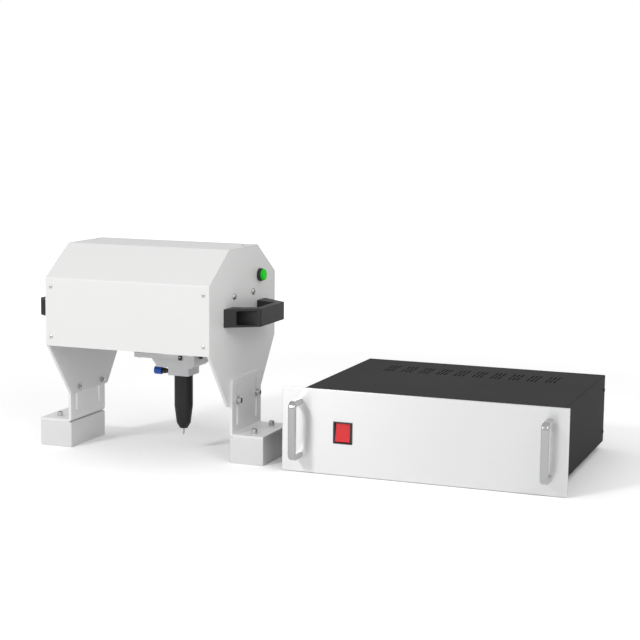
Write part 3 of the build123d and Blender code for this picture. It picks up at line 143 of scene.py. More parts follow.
for name, (place, power, width) in lamps.items():
    light = bpy.data.lights.new(name, "AREA")
    light.shape = "SQUARE"
    light.size = width
    light.energy = power
    lamp = placed(name, light)
    lamp.location = place
    lamp.rotation_mode = "QUATERNION"
    lamp.rotation_quaternion = (lamp_aim - Vector(place)).to_track_quat("-Z", "Y")

bpy.context.scene.view_settings.view_transform = "Standard"

paper = bpy.data.materials.new("floor_paper")
paper.use_nodes = True
paper_tree = paper.node_tree
paper_tree.nodes.remove(paper_tree.nodes["Principled BSDF"])
sheet = paper_tree.nodes.new("ShaderNodeBsdfDiffuse")
paper_tree.links.new(sheet.outputs[0], paper_tree.nodes["Material Output"].inputs["Surface"])
away = paper_tree.nodes.new("ShaderNodeVectorMath")
away.operation = "LENGTH"
paper_tree.links.new(paper_tree.nodes.new("ShaderNodeTexCoord").outputs["Object"], away.inputs[0])
spread = paper_tree.nodes.new("ShaderNodeMapRange")
spread.interpolation_type = "SMOOTHSTEP"
spread.inputs["From Min"].default_value = near_reach
spread.inputs["From Max"].default_value = far_reach
spread.inputs["To Min"].default_value = near_lift
spread.inputs["To Max"].default_value = far_lift
paper_tree.links.new(away.outputs["Value"], spread.inputs["Value"])
rays = paper_tree.nodes.new("ShaderNodeLightPath")
rise = maths(paper_tree, "SUBTRACT", spread.outputs["Result"], 1)
lift = maths(paper_tree, "MULTIPLY_ADD", rays.outputs["Is Camera Ray"], rise, 1)
tone = paper_tree.nodes.new("ShaderNodeVectorMath")
tone.operation = "SCALE"
tone.inputs[0].default_value = floor_colour
paper_tree.links.new(lift, tone.inputs["Scale"])
paper_tree.links.new(tone.outputs[0], sheet.inputs["Color"])
floor_corners = [(-1, -1), (1, -1), (1, 1), (-1, 1)]
floor_mesh = bpy.data.meshes.new("floor")
floor_mesh.from_pydata(
    [(x * floor_reach, y * floor_reach, 0) for x, y in floor_corners], [], [(0, 1, 2, 3)])
floor_mesh.materials.append(paper)
floor = placed("floor", floor_mesh)

# Cover
# One steel sheet bent to five flats over the two side plates, powder coated off-white with a fine
# orange-peel skin. Small screws hold it to lugs on the plates.

cover_colour = (0.76, 0.76, 0.755)
cover_edge = 0.25
weld_reach = 0.002
flat_angle = 0.5
sharp_angle = 32


def new_group(name, inputs, outputs):
    """An empty shader node group with these named sockets, and its two end nodes."""
    group = bpy.data.node_groups.new(name, "ShaderNodeTree")
    kinds = {"colour": "NodeSocketColor", "value": "NodeSocketFloat", "vector": "NodeSocketVector"}
    for side, sockets in (("INPUT", inputs), ("OUTPUT", outputs)):
        for label, kind in sockets.items():
            group.interface.new_socket(label, in_out=side, socket_type=kinds[kind])
    given = group.nodes.new("NodeGroupInput").outputs
    return group, given, group.nodes.new("NodeGroupOutput").inputs


def noise(tree, where, scale, detail):
    """The grey output of a noise texture at these coordinates."""
    texture = tree.nodes.new("ShaderNodeTexNoise")
    for label, value in (("Vector", where), ("Scale", scale), ("Detail", detail)):
        feed(tree, texture.inputs[label], value)
    return texture.outputs["Fac"]


def scaled(tree, colour, factor):
    """A colour socket multiplied by a value socket."""
    product = tree.nodes.new("ShaderNodeVectorMath")
    product.operation = "SCALE"
    tree.links.new(colour, product.inputs[0])
    tree.links.new(factor, product.inputs["Scale"])
    return product.outputs[0]


def shaded(tree, colour, grey, depth):
    """The colour made lighter and darker by a grey that swings about one half."""
    swing = maths(tree, "MULTIPLY", maths(tree, "SUBTRACT", grey, 0.5), depth)
    return scaled(tree, colour, maths(tree, "ADD", swing, 1))


# Slow clouds of shade and a fine pebbled grain, for coats of paint and moulded skins.
skin_group, given, result = new_group(
    "cloudy_skin",
    {"Colour": "colour", "Cloud Scale": "value", "Cloud Depth": "value", "Grain Scale": "value",
     "Roughness": "value", "Roughness Spread": "value"},
    {"Colour": "colour", "Roughness": "value", "Grain": "value"},
)
where = skin_group.nodes.new("ShaderNodeTexCoord").outputs["Object"]
clouds = noise(skin_group, where, given["Cloud Scale"], 3)
grain = noise(skin_group, where, given["Grain Scale"], 2)
tint = shaded(skin_group, given["Colour"], clouds, given["Cloud Depth"])
swing = maths(skin_group, "SUBTRACT", maths(skin_group, "ADD", clouds, grain), 1)
gloss = maths(skin_group, "MULTIPLY_ADD", swing, given["Roughness Spread"], given["Roughness"])
skin_group.links.new(tint, result["Colour"])
skin_group.links.new(gloss, result["Roughness"])
skin_group.links.new(grain, result["Grain"])


def finish_material(name, group, values, relief, relief_output, metallic, settings):
    """A material whose colour, gloss and relief come from a node group placed with its own values."""
    material = bpy.data.materials.new(name)
    material.use_nodes = True
    tree = material.node_tree
    surface = tree.nodes["Principled BSDF"]
    surface.inputs["Metallic"].default_value = metallic
    for label, value in settings.items():
        surface.inputs[label].default_value = value
    skin = tree.nodes.new("ShaderNodeGroup")
    skin.node_tree = group
    for label, value in values.items():
        skin.inputs[label].default_value = value
    bump = tree.nodes.new("ShaderNodeBump")
    bump.inputs["Distance"].default_value = relief / 1000
    tree.links.new(skin.outputs[relief_output], bump.inputs["Height"])
    tree.links.new(bump.outputs["Normal"], surface.inputs["Normal"])
    tree.links.new(skin.outputs["Colour"], surface.inputs["Base Color"])
    tree.links.new(skin.outputs["Roughness"], surface.inputs["Roughness"])
    return material


def coated(name, colour, clouds, roughness, cloud_depth=0.15, grain=2500.0, relief=0.01, spread=0.08,
           metallic=0, **settings):
    """Paint, plastic or rubber. Clouds and grain count per metre, and relief is in millimetres."""
    values = {
        "Colour": (*colour, 1), "Cloud Scale": clouds, "Cloud Depth": cloud_depth,
        "Grain Scale": grain, "Roughness": roughness, "Roughness Spread": spread,
    }
    return finish_material(name, skin_group, values, relief, "Grain", metallic, settings)


def soften(material, edge, *names):
    """Give CAD nodes their material and round their sharp edges by this many millimetres."""
    for name in names:
        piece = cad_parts[name]
        piece.data.materials.clear()
        piece.data.materials.append(material)
        weld = piece.modifiers.new("weld", "WELD")
        weld.merge_threshold = weld_reach / 1000
        flats = piece.modifiers.new("flats", "DECIMATE")
        flats.decimate_type = "DISSOLVE"
        flats.angle_limit = math.radians(flat_angle)
        rounded = piece.modifiers.new("rounded", "BEVEL")
        rounded.limit_method = "ANGLE"
        rounded.angle_limit = math.radians(sharp_angle)
        rounded.width = edge / 1000
        rounded.segments = 2
        even = piece.modifiers.new("even", "WEIGHTED_NORMAL")
        even.keep_sharp = True
        for face in piece.data.polygons:
            face.use_smooth = True


cover_paint = coated("cover_paint", cover_colour, clouds=5.0, cloud_depth=0.02, grain=700.0,
                     relief=0.02, roughness=0.38, spread=0.06)
soften(cover_paint, cover_edge, "cover_shell")

# Cover screws
# Ten small domed screws with a cross recess, nickel plated, turned into the lugs through the cover:
# two in front, two behind and one on top at each end.

bright_colour = (0.62, 0.61, 0.59)
cover_ends = (10.5, 295.5)
cover_rows = (210.5, 296.0)
cover_top = 365.0
cover_back = 281.0
top_screw_depth = 160.0
small_head = [(1.5, -8.0), (1.5, 0.0), (3.0, 0.0), (3.0, 0.5), (2.8, 1.0), (2.2, 1.4), (1.6, 1.58)]
cross_arm = 0.3

# The pieces are drawn in millimetres from the cover's front left corner, at the floor. This is the
# middle of the whole machine in that drawing.
drawing_middle = Vector((414.35, 233.5, 0))


def drawn(node):
    """The lowest and highest corners of a CAD node in the drawing."""
    low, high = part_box(node)
    return low * 1000 + drawing_middle, high * 1000 + drawing_middle


def turns(count):
    """Equal steps round a circle, in radians."""
    return [2 * math.pi * index / count for index in range(count)]


def hexagon(turn):
    """How far a hexagon's edge lies from its middle, as a share of its corners' radius."""
    return math.cos(math.pi / 6) / math.cos(turn % (math.pi / 3) - math.pi / 6)


def cross(turn):
    """The same for a cross with narrow arms."""
    away = abs((turn + math.pi / 4) % (math.pi / 2) - math.pi / 4)
    return min(1.0, cross_arm / max(math.sin(away), 0.01))


def joined(rings, closed):
    """A skin over equal rings of corners, closed from the last to the first or capped at both ends."""
    shape = bmesh.new()
    loops = [[shape.verts.new(corner) for corner in ring] for ring in rings]
    pairs = list(zip(loops, loops[1:]))
    if closed:
        pairs.append((loops[-1], loops[0]))
    else:
        shape.faces.new(loops[0])
        shape.faces.new(loops[-1])
    for near, far in pairs:
        for index in range(len(near)):
            after = (index + 1) % len(near)
            shape.faces.new((near[index], near[after], far[after], far[index]))
    return shape


def turned(outline, seat, way, recess=(), sides=32, closed=False):
    """A lathe-turned shape. Each spot of its outline is the radius and the distance from the seat along
    its way, and may end in the function that gives its ring's shape."""
    way = Vector(way).normalized()
    aside = way.orthogonal().normalized()
    up = way.cross(aside)
    rings = []
    for spot in [*outline, *recess]:
        form = spot[2] if len(spot) > 2 else None
        ring = []
        for turn in turns(sides):
            radius = spot[0] * (form(turn) if form else 1)
            reach = aside * math.cos(turn) * radius + up * math.sin(turn) * radius
            ring.append(Vector(seat) + way * spot[1] + reach)
        rings.append(ring)
    return joined(rings, closed)


def make_piece(name, parts, body, stands_for, smooth_angle=34):
    """One piece from (shape, material) pairs that moves with a body and replaces these CAD nodes."""
    whole = bmesh.new()
    mesh = bpy.data.meshes.new(name)
    for shape, material in parts:
        if material.name not in mesh.materials:
            mesh.materials.append(material)
        place = mesh.materials.find(material.name)
        for face in shape.faces:
            face.material_index = place
            face.smooth = True
        bmesh.ops.recalc_face_normals(shape, faces=shape.faces)
        part = bpy.data.meshes.new("part")
        shape.to_mesh(part)
        shape.free()
        whole.from_mesh(part)
        bpy.data.meshes.remove(part)
    for corner in whole.verts:
        corner.co = (corner.co - drawing_middle) / 1000
    whole.to_mesh(mesh)
    whole.free()
    mesh.set_sharp_from_angle(angle=math.radians(smooth_angle))
    piece = placed(name, mesh)
    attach(piece, body)
    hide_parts(*stands_for)
    return piece


# Fine parallel lines over slow clouds, for metal that is milled, brushed, ground or turned.
line_group, given, result = new_group(
    "fine_lines",
    {"Colour": "colour", "Stretch": "vector", "Cloud Scale": "value", "Line Depth": "value",
     "Roughness": "value", "Roughness Spread": "value"},
    {"Colour": "colour", "Roughness": "value", "Lines": "value"},
)
where = line_group.nodes.new("ShaderNodeTexCoord").outputs["Object"]
stretched = line_group.nodes.new("ShaderNodeVectorMath")
stretched.operation = "MULTIPLY"
line_group.links.new(where, stretched.inputs[0])
line_group.links.new(given["Stretch"], stretched.inputs[1])
lines = noise(line_group, stretched.outputs[0], 1, 3)
clouds = noise(line_group, where, given["Cloud Scale"], 2)
both = maths(line_group, "MULTIPLY", maths(line_group, "ADD", lines, clouds), 0.5)
tint = shaded(line_group, given["Colour"], both, given["Line Depth"])
swing = maths(line_group, "SUBTRACT", both, 0.5)
gloss = maths(line_group, "MULTIPLY_ADD", swing, given["Roughness Spread"], given["Roughness"])
line_group.links.new(tint, result["Colour"])
line_group.links.new(gloss, result["Roughness"])
line_group.links.new(lines, result["Lines"])


def lined(name, colour, stretch, depth, roughness, relief=0.004, spread=0.15, metallic=1, clouds=12.0,
          **settings):
    """Machined or brushed metal. Stretch says how tight its lines lie along each axis, per metre."""
    values = {
        "Colour": (*colour, 1), "Stretch": stretch, "Cloud Scale": clouds, "Line Depth": depth,
        "Roughness": roughness, "Roughness Spread": spread,
    }
    return finish_material(name, line_group, values, relief, "Lines", metallic, settings)


plated = lined("plated_steel", bright_colour, stretch=(300, 300, 300), depth=0.25, roughness=0.2,
               clouds=90.0)
small_recess = [(1.25, 1.5, cross), (1.15, 0.7, cross)]
cover_seats = []
for across in cover_ends:
    for height in cover_rows:
        cover_seats.append(((across, 0, height), (0, -1, 0)))
        cover_seats.append(((across, cover_back, height), (0, 1, 0)))
    cover_seats.append(((across, top_screw_depth, cover_top), (0, 0, 1)))
cover_parts = [(turned(small_head, seat, way, small_recess), plated) for seat, way in cover_seats]
make_piece("cover_screw_heads", cover_parts, "head", ["cover_screws"])

# Side plates and lugs
# Two thick plates in the same coat stand inside the cover's ends and run down as tapered legs. The lugs
# behind the cover are small milled aluminium blocks.

plate_colour = (0.78, 0.78, 0.775)
plate_edge = 0.7
milled_colour = (0.72, 0.72, 0.73)
lug_edge = 0.3

plate_paint = coated("plate_paint", plate_colour, clouds=6.0, cloud_depth=0.02, grain=700.0,
                     relief=0.02, roughness=0.4, spread=0.06)
soften(plate_paint, plate_edge, "side_plate_left", "side_plate_right")

milled = lined("milled_aluminium", milled_colour, stretch=(40, 900, 1500), depth=0.1, relief=0.008,
               roughness=0.36, spread=0.25)
soften(milled, lug_edge, "cover_lugs")

# Screws in the side plates
# Bright domed screws close the ends of the X shafts, and plated socket screws sit deep in the handles'
# pockets. Each has a hexagon socket.

shaft_screw_depths = (100.0, 181.0)
shaft_screw_height = 284.5
handle_screw_depths = (81.0, 213.0)
left_handle_shift = 24.0
handle_screw_height = 251.5
pocket_floor = 6.0
head_right = 306.0
screw_sides = 48
pan_outline = [
    (3.0, -18.0), (3.0, 0.0), (6.0, 0.0), (6.0, 1.1), (5.7, 2.0), (5.0, 2.75), (4.0, 3.25), (3.1, 3.4)]
pan_recess = [(2.8, 3.35, hexagon), (2.8, 1.7, hexagon)]
socket_outline = [(2.5, -11.0), (2.5, 0.0), (4.2, 0.0), (4.5, 0.3), (4.5, 4.5), (4.0, 5.0), (2.6, 5.0)]
socket_recess = [(2.2, 4.9, hexagon), (2.2, 2.5, hexagon)]

side_parts = []
for across, way, shift in ((0.0, -1, left_handle_shift), (head_right, 1, 0.0)):
    for depth in shaft_screw_depths:
        seat = (across, depth, shaft_screw_height)
        side_parts.append((turned(pan_outline, seat, (way, 0, 0), pan_recess, screw_sides), plated))
    for depth in handle_screw_depths:
        seat = (across + way * pocket_floor, depth - shift, handle_screw_height)
        side_parts.append((turned(socket_outline, seat, (way, 0, 0), socket_recess, screw_sides), plated))
make_piece("side_screw_heads", side_parts, "head", ["side_screws"])

# Bridge handles
# One black handle on each side plate, moulded in glass-filled nylon with a fine matt texture, with a deep
# pocket at each end for its screw.

handle_colour = (0.022, 0.022, 0.023)
handle_edge = 0.5

handle_nylon = coated("handle_nylon", handle_colour, clouds=40.0, cloud_depth=0.2, grain=1800.0,
                      relief=0.05, roughness=0.48, spread=0.1, **{"Specular IOR Level": 0.4})
soften(handle_nylon, handle_edge, "handle_left", "handle_right")

# Start button
# A green cap in a black threaded bezel on the right plate, with a nut behind it. Both are moulded, and
# the cap has a shallow groove inside its rim.

bezel_colour = (0.018, 0.018, 0.018)
cap_colour = (0.004, 0.72, 0.012)
button_seat = (head_right, 209.0, 311.0)
button_sides = 64
bezel_outline = [
    (8.0, -31.0), (8.0, -10.0), (11.2, -10.0), (11.2, -5.0), (8.0, -5.0), (8.0, 0.0), (11.2, 0.0),
    (11.2, 5.6), (10.9, 6.2), (10.5, 6.5), (10.3, 6.5), (10.2, 6.4), (10.2, 2.7), (4.3, 2.7),
    (4.3, -31.0)]
cap_outline = [
    (4.0, -17.5), (4.0, 6.5), (9.9, 6.5), (9.9, 9.3), (9.6, 10.1), (9.0, 10.6), (8.2, 10.8),
    (7.6, 10.7), (7.4, 10.45), (7.0, 10.4), (6.0, 10.5), (3.5, 10.7), (1.0, 10.76)]

bezel_plastic = coated("bezel_plastic", bezel_colour, clouds=60.0, roughness=0.3)
cap_plastic = coated("cap_plastic", cap_colour, clouds=150.0, cloud_depth=0.12, grain=3000.0,
                     relief=0.006, roughness=0.3, spread=0.06, **{"Specular IOR Level": 0.12})
bezel = turned(bezel_outline, button_seat, (1, 0, 0), sides=button_sides, closed=True)
cap = turned(cap_outline, button_seat, (1, 0, 0), sides=button_sides)
make_piece("bezel_ring", [(bezel, bezel_plastic)], "head", ["button_bezel"])
make_piece("button_cap", [(cap, cap_plastic)], "button", ["start_button"])

# Brackets
# Plates of aluminium bent to an L, with two upright slots that set the head's height, brushed lengthways
# and left bare.

bracket_colour = (0.84, 0.84, 0.845)
bracket_edge = 0.7

bent_plate = lined("bent_aluminium", bracket_colour, stretch=(900, 40, 1500), depth=0.08, relief=0.01,
                   roughness=0.46, spread=0.2, metallic=0.2)
soften(bent_plate, bracket_edge, "bracket_left", "bracket_right")

# Foot blocks and their bolts
# Solid aluminium blocks, milled all over with a small chamfer. Two tall socket bolts through each bracket
# hold it to its block.

block_colour = (0.76, 0.76, 0.765)
block_edge = 0.5
foot_bolt_depths = (107.0, 183.0)
foot_bolt_across = (-36.0, 342.0)
bracket_flange_top = 50.0
tall_outline = [(3.0, -24.0), (3.0, 0.0), (4.7, 0.0), (5.0, 0.3), (5.0, 7.4), (4.5, 8.0), (3.2, 8.0)]
tall_recess = [(2.8, 7.9, hexagon), (2.8, 4.0, hexagon)]

block_metal = lined("block_aluminium", block_colour, stretch=(60, 700, 1200), depth=0.06, relief=0.006,
                    roughness=0.4, spread=0.2, metallic=0.2)
soften(block_metal, block_edge, "foot_block_left", "foot_block_right")
foot_parts = []
for across in foot_bolt_across:
    for depth in foot_bolt_depths:
        seat = (across, depth, bracket_flange_top)
        foot_parts.append((turned(tall_outline, seat, (0, 0, 1), tall_recess, screw_sides), plated))
make_piece("foot_bolt_heads", foot_parts, "base", ["foot_bolts"])

# Clamp bolts
# Socket bolts with washers in the brackets' slots and hexagon nuts behind the legs. They are loosened to
# lift or lower the head.

clamp_depths = (104.0, 186.0)
clamp_height = 106.0
bolt_seat = 312.8
washer_seat = 311.2
nut_seat = 301.0
clamp_outline = [(3.0, -18.0), (3.0, 0.0), (4.7, 0.0), (5.0, 0.3), (5.0, 5.4), (4.5, 6.0), (3.2, 6.0)]
clamp_recess = [(2.8, 5.9, hexagon), (2.8, 3.0, hexagon)]
washer_outline = [(3.15, 0.0), (6.3, 0.0), (6.5, 0.2), (6.5, 1.4), (6.3, 1.6), (3.15, 1.6)]
nut_outline = [
    (3.15, 0.0, hexagon), (5.3, 0.0, hexagon), (5.5, 0.3, hexagon), (5.5, 4.7, hexagon),
    (5.1, 5.0, hexagon), (3.15, 5.0, hexagon)]

clamp_parts = []
for mirrored in (False, True):
    for depth in clamp_depths:
        for outline, reach, way, recess, closed in (
            (clamp_outline, bolt_seat, 1, clamp_recess, False),
            (washer_outline, washer_seat, 1, (), True),
            (nut_outline, nut_seat, -1, (), True),
        ):
            seat = (head_right - reach if mirrored else reach, depth, clamp_height)
            side = -way if mirrored else way
            shape = turned(outline, seat, (side, 0, 0), recess, screw_sides, closed)
            clamp_parts.append((shape, plated))
make_piece("clamp_bolt_sets", clamp_parts, "head", ["clamp_bolts"])

# X axis: shafts, bearings and carriage plate
# Two hardened ground shafts between the side plates carry steel bushings in milled aluminium blocks,
# which are bolted to a thick carriage plate.

ground_colour = (0.60, 0.60, 0.61)
shaft_edge = 0.4
bushing_edge = 0.3
milled_edge = 0.5

ground_x = lined("ground_steel_x", ground_colour, stretch=(4000, 60, 60), depth=0.08, relief=0.002,
                 roughness=0.14, spread=0.08)
ground_y = lined("ground_steel_y", ground_colour, stretch=(60, 4000, 60), depth=0.08, relief=0.002,
                 roughness=0.14, spread=0.08)
soften(ground_x, shaft_edge, "x_shafts")
soften(ground_x, bushing_edge, "linear_bushings")
soften(milled, milled_edge, "bearing_blocks", "carriage_plate")

# Belt drive
# A toothed rubber belt runs round a pulley on the motor's shaft and a free one, both turned from
# aluminium, and a milled column on the carriage grips its lower run.

belt_colour = (0.022, 0.022, 0.023)
belt_teeth = 182
tooth_steps = 4
belt_thickness = 1.6
belt_root = 0.9
belt_bracket_edge = 0.4
pulley_teeth = 20
pulley_rim = 9.0
pulley_tooth_cut = -0.2
pulley_root_share = 0.93
pulley_width = 13.0
flange_thickness = 1.2
flange_rise = 2.5
flange_rounding = 0.3
flange_slope = 0.1
motor_shaft_radius = 2.5
motor_shaft_edge = 0.3
axle_bore = 2.55
pulley_sides = 120

belt_rubber = coated("belt_rubber", belt_colour, clouds=60.0, cloud_depth=0.2, grain=2200.0,
                     relief=0.06, roughness=0.62, spread=0.1)
turned_y = lined("turned_aluminium", milled_colour, stretch=(60, 3000, 60), depth=0.1, roughness=0.28)
soften(milled, belt_bracket_edge, "belt_clamp", "belt_brackets")
belt_low, belt_high = drawn("x_belt")
wheels = [drawn(node) for node in ("motor_pulley", "idler_pulley")]
wheel_middles = [(low.x + high.x) / 2 for low, high in wheels]
wheel_height = (belt_low.z + belt_high.z) / 2
wheel_gap = wheel_middles[1] - wheel_middles[0]
belt_radius = (belt_high.z - belt_low.z) / 2


def belt_spot(share, radius):
    """A point of the belt's loop, across and up, this share of the way round it and this far from the
    pulleys' axles."""
    straight = wheel_gap / (wheel_gap * 2 + math.pi * 2 * belt_radius)
    if share < straight:
        return wheel_middles[0] + wheel_gap * share / straight, wheel_height - radius
    if share < 0.5:
        turn = math.pi * ((share - straight) / (0.5 - straight) - 0.5)
        return wheel_middles[1] + math.cos(turn) * radius, wheel_height + math.sin(turn) * radius
    across, height = belt_spot(share - 0.5, radius)
    return sum(wheel_middles) - across, wheel_height * 2 - height


belt_rings = []
belt_steps = belt_teeth * tooth_steps
for index in range(belt_steps):
    thickness = belt_thickness if index % tooth_steps < tooth_steps / 2 else belt_root
    outside = belt_spot(index / belt_steps, belt_radius)
    inside = belt_spot(index / belt_steps, belt_radius - thickness)
    corners = [(outside, belt_low.y), (outside, belt_high.y), (inside, belt_high.y), (inside, belt_low.y)]
    belt_rings.append([Vector((spot[0], depth, spot[1])) for spot, depth in corners])
belt = joined(belt_rings, True)
make_piece("toothed_belt", [(belt, belt_rubber)], "head", ["x_belt"])


def cogs(turn):
    """A pulley's toothed rim, as a share of its radius."""
    return 1.0 if math.sin(turn * pulley_teeth) > pulley_tooth_cut else pulley_root_share


def wheel():
    """The outline of a flanged pulley without its hub, from its front: radius, distance and teeth."""
    lip = pulley_rim + flange_rise
    near_cogs = flange_thickness + flange_slope
    return [
        (lip - flange_rounding, 0.0), (lip, flange_rounding), (lip, flange_thickness),
        (pulley_rim, near_cogs, cogs), (pulley_rim, pulley_width - near_cogs, cogs),
        (lip, pulley_width - flange_thickness), (lip, pulley_width - flange_rounding),
        (lip - flange_rounding, pulley_width)]


motor_front, idler_front = (low.y for low, high in wheels)
shaft_end = wheels[0][1].y - motor_front
motor_wheel = [
    *wheel(), (motor_shaft_radius, pulley_width), (motor_shaft_radius, shaft_end - motor_shaft_edge),
    (motor_shaft_radius - motor_shaft_edge, shaft_end)]
idler_wheel = [(axle_bore, 0.0), *wheel(), (axle_bore, pulley_width)]
motor_seat = (wheel_middles[0], motor_front, wheel_height)
idler_seat = (wheel_middles[1], idler_front, wheel_height)
driving = [(turned(motor_wheel, motor_seat, (0, 1, 0), sides=pulley_sides), turned_y)]
free = [(turned(idler_wheel, idler_seat, (0, 1, 0), sides=pulley_sides, closed=True), turned_y)]
make_piece("motor_pulley_cogs", driving, "drive_pulley", ["motor_pulley"])
make_piece("idler_pulley_cogs", free, "free_pulley", ["idler_pulley"])

# Motors
# Square stepping motors: a lacquered stack of laminations between two cast aluminium ends, held by four
# long screws, with a white connector on top.

motor_colour = (0.04, 0.04, 0.042)
cast_colour = (0.52, 0.52, 0.53)
white_colour = (0.70, 0.69, 0.65)
motor_corner = 5.0
motor_end = 9.0
motor_end_edge = 0.5
stack_step = 0.6
stack_overlap = 0.2
stack_edge = 0.1
motor_screw_reach = 15.5
motor_screw_sides = 24
motor_screw = [(1.5, -6.0), (1.5, 0.0), (2.7, 0.0), (2.7, 0.6), (2.4, 1.1), (1.6, 1.4)]
motor_screw_recess = [(1.2, 1.35, cross), (1.1, 0.6, cross)]
plug_half = 8.0
plug_length = 12.0
plug_setback = 2.0
plug_rise = 6.0
plug_sunk = 0.5
plug_corner = 0.6
plug_edge = 0.3


def prism(outline, start, end, edge):
    """A bar along Y over an outline of (across, height) corners, with its two rims softened."""
    middle = Vector((sum(x for x, z in outline), 0, sum(z for x, z in outline))) / len(outline)
    rings = []
    for depth, inset in ((start, edge), (start + edge, 0), (end - edge, 0), (end, edge)):
        ring = []
        for x, z in outline:
            spoke = Vector((x, 0, z)) - middle
            ring.append(middle + spoke * (1 - inset / spoke.length) + Vector((0, depth, 0)))
        rings.append(ring)
    return joined(rings, False)


def cut_square(low, high, corner, inset=0):
    """A rectangle in X and Z with its corners cut off, drawn in by the inset."""
    left, right, bottom, top = low.x + inset, high.x - inset, low.z + inset, high.z - inset
    return [
        (left + corner, bottom), (right - corner, bottom), (right, bottom + corner),
        (right, top - corner), (right - corner, top), (left + corner, top), (left, top - corner),
        (left, bottom + corner)]


motor_lacquer = lined("motor_laminations", motor_colour, stretch=(60, 2600, 60), depth=0.5, relief=0.08,
                      roughness=0.42, spread=0.12, metallic=0.3)
cast = coated("cast_aluminium", cast_colour, clouds=60.0, grain=1500.0, relief=0.05, roughness=0.42,
              spread=0.15, metallic=1)
white_nylon = coated("white_nylon", white_colour, clouds=80.0, cloud_depth=0.08, grain=2000.0,
                     roughness=0.4)
for node, body in (("x_motor", "head"), ("y_motor", "x_carriage")):
    low, high = drawn(node)
    ends = cut_square(low, high, motor_corner)
    stack = cut_square(low, high, motor_corner, stack_step)
    stack_start = low.y + motor_end - stack_overlap
    stack_end = high.y - motor_end + stack_overlap
    parts = [
        (prism(ends, low.y, low.y + motor_end, motor_end_edge), cast),
        (prism(stack, stack_start, stack_end, stack_edge), motor_lacquer),
        (prism(ends, high.y - motor_end, high.y, motor_end_edge), cast),
    ]
    middle = (low + high) / 2
    for x in (-motor_screw_reach, motor_screw_reach):
        for z in (-motor_screw_reach, motor_screw_reach):
            seat = (middle.x + x, high.y, middle.z + z)
            screw = turned(motor_screw, seat, (0, 1, 0), motor_screw_recess, motor_screw_sides)
            parts.append((screw, plated))
    plug_low = Vector((middle.x - plug_half, 0, high.z - plug_sunk))
    plug_high = Vector((middle.x + plug_half, 0, high.z + plug_rise))
    plug_outline = cut_square(plug_low, plug_high, plug_corner)
    plug_end = high.y - plug_setback
    parts.append((prism(plug_outline, plug_end - plug_length, plug_end, plug_edge), white_nylon))
    make_piece(node + "_stack", parts, body, [node])

# Y axis: end plates, rods, lead screw and slide
# The end plates hang from the carriage plate and hold two ground rods and the rolled lead screw, on which
# the slide block runs.

rod_edge = 0.3
thread_pitch = 2.0
thread_depth = 0.8
thread_steps = 6
thread_sides = 24
thread_smooth_angle = 50
screw_journal = 2.5
screw_journal_length = 19.0
screw_shoulder = 0.1


def around(middle, depth, radius, turn):
    """The point this far from a line along Y, at this depth and turn."""
    return Vector((middle.x + math.cos(turn) * radius, depth, middle.z + math.sin(turn) * radius))


soften(milled, milled_edge, "end_plates")
soften(ground_y, rod_edge, "y_rods")
low, high = drawn("lead_screw")
middle = (low + high) / 2
thread_radius = (high.z - low.z) / 2
thread_length = high.y - low.y - screw_journal_length
thread_count = round(thread_length / thread_pitch * thread_steps)
thread_rings = []
for step in range(thread_count + 1):
    depth = low.y + thread_length * step / thread_count
    ring = []
    for index, turn in enumerate(turns(thread_sides)):
        crest = abs((step / thread_steps - index / thread_sides) % 1 * 2 - 1)
        radius = thread_radius - thread_depth * min(1, max(0, crest * 2 - 0.5))
        ring.append(around(middle, depth, radius, turn))
    thread_rings.append(ring)
for depth in (low.y + thread_length + screw_shoulder, high.y):
    thread_rings.append([around(middle, depth, screw_journal, turn) for turn in turns(thread_sides)])
thread = joined(thread_rings, False)
make_piece("lead_screw_thread", [(thread, ground_y)], "y_screw", ["lead_screw"],
           thread_smooth_angle)
soften(milled, milled_edge, "slide_block", "riser")

# Stylus plate and holder
# A flat plate under the riser and the holder that clamps the stylus, both milled from aluminium and bead
# blasted, with black screws and a small black sensor in front.

holder_colour = (0.66, 0.66, 0.67)
screw_black = (0.035, 0.035, 0.036)
blasted_edge = 0.4
plate_screw_inset = 7.0
plate_back_screw = 52.0
plate_side_screw = 22.0
plate_screw = [(2.0, -10.0), (2.0, 0.0), (3.3, 0.0), (3.5, 0.2), (3.5, 3.6), (3.1, 4.0), (2.1, 4.0)]
plate_recess = [(1.7, 3.9, hexagon), (1.7, 2.0, hexagon)]
sensor_left = 193.0
sensor_width = 6.0
sensor_height = 8.0
sensor_depth = 3.0
sensor_corner = 0.5
sensor_edge = 0.3
sensor_sunk = 0.1
sensor_screw_share = 0.7
sensor_screw_sides = 20
sensor_screw = [(1.2, -0.5), (1.2, 0.0), (1.2, 0.2), (1.0, 0.4), (0.8, 0.45)]
sensor_recess = [(0.6, 0.44, cross), (0.6, 0.2, cross)]

sensor_plastic = coated("sensor_plastic", bezel_colour, clouds=200.0, cloud_depth=0.1, roughness=0.38)
black_steel = coated("blackened_steel", screw_black, clouds=300.0, cloud_depth=0.3, grain=4000.0,
                     relief=0.004, roughness=0.34, spread=0.1, metallic=0.6)
blasted = coated("blasted_aluminium", holder_colour, clouds=30.0, cloud_depth=0.06, grain=2600.0,
                 relief=0.03, roughness=0.42, spread=0.12, metallic=0.4)
soften(blasted, blasted_edge, "stylus_plate", "stylus_holder")
low, high = drawn("stylus_plate")
seats = [
    ((low.x + plate_screw_inset, low.y + plate_screw_inset, high.z), (0, 0, 1)),
    ((low.x + plate_screw_inset, low.y + plate_back_screw, high.z), (0, 0, 1)),
    ((high.x, low.y + plate_side_screw, (low.z + high.z) / 2), (1, 0, 0)),
]
plate_parts = []
for seat, way in seats:
    plate_parts.append((turned(plate_screw, seat, way, plate_recess, screw_sides), black_steel))
sensor_front = low.y - sensor_depth
sensor_low = Vector((sensor_left, 0, low.z))
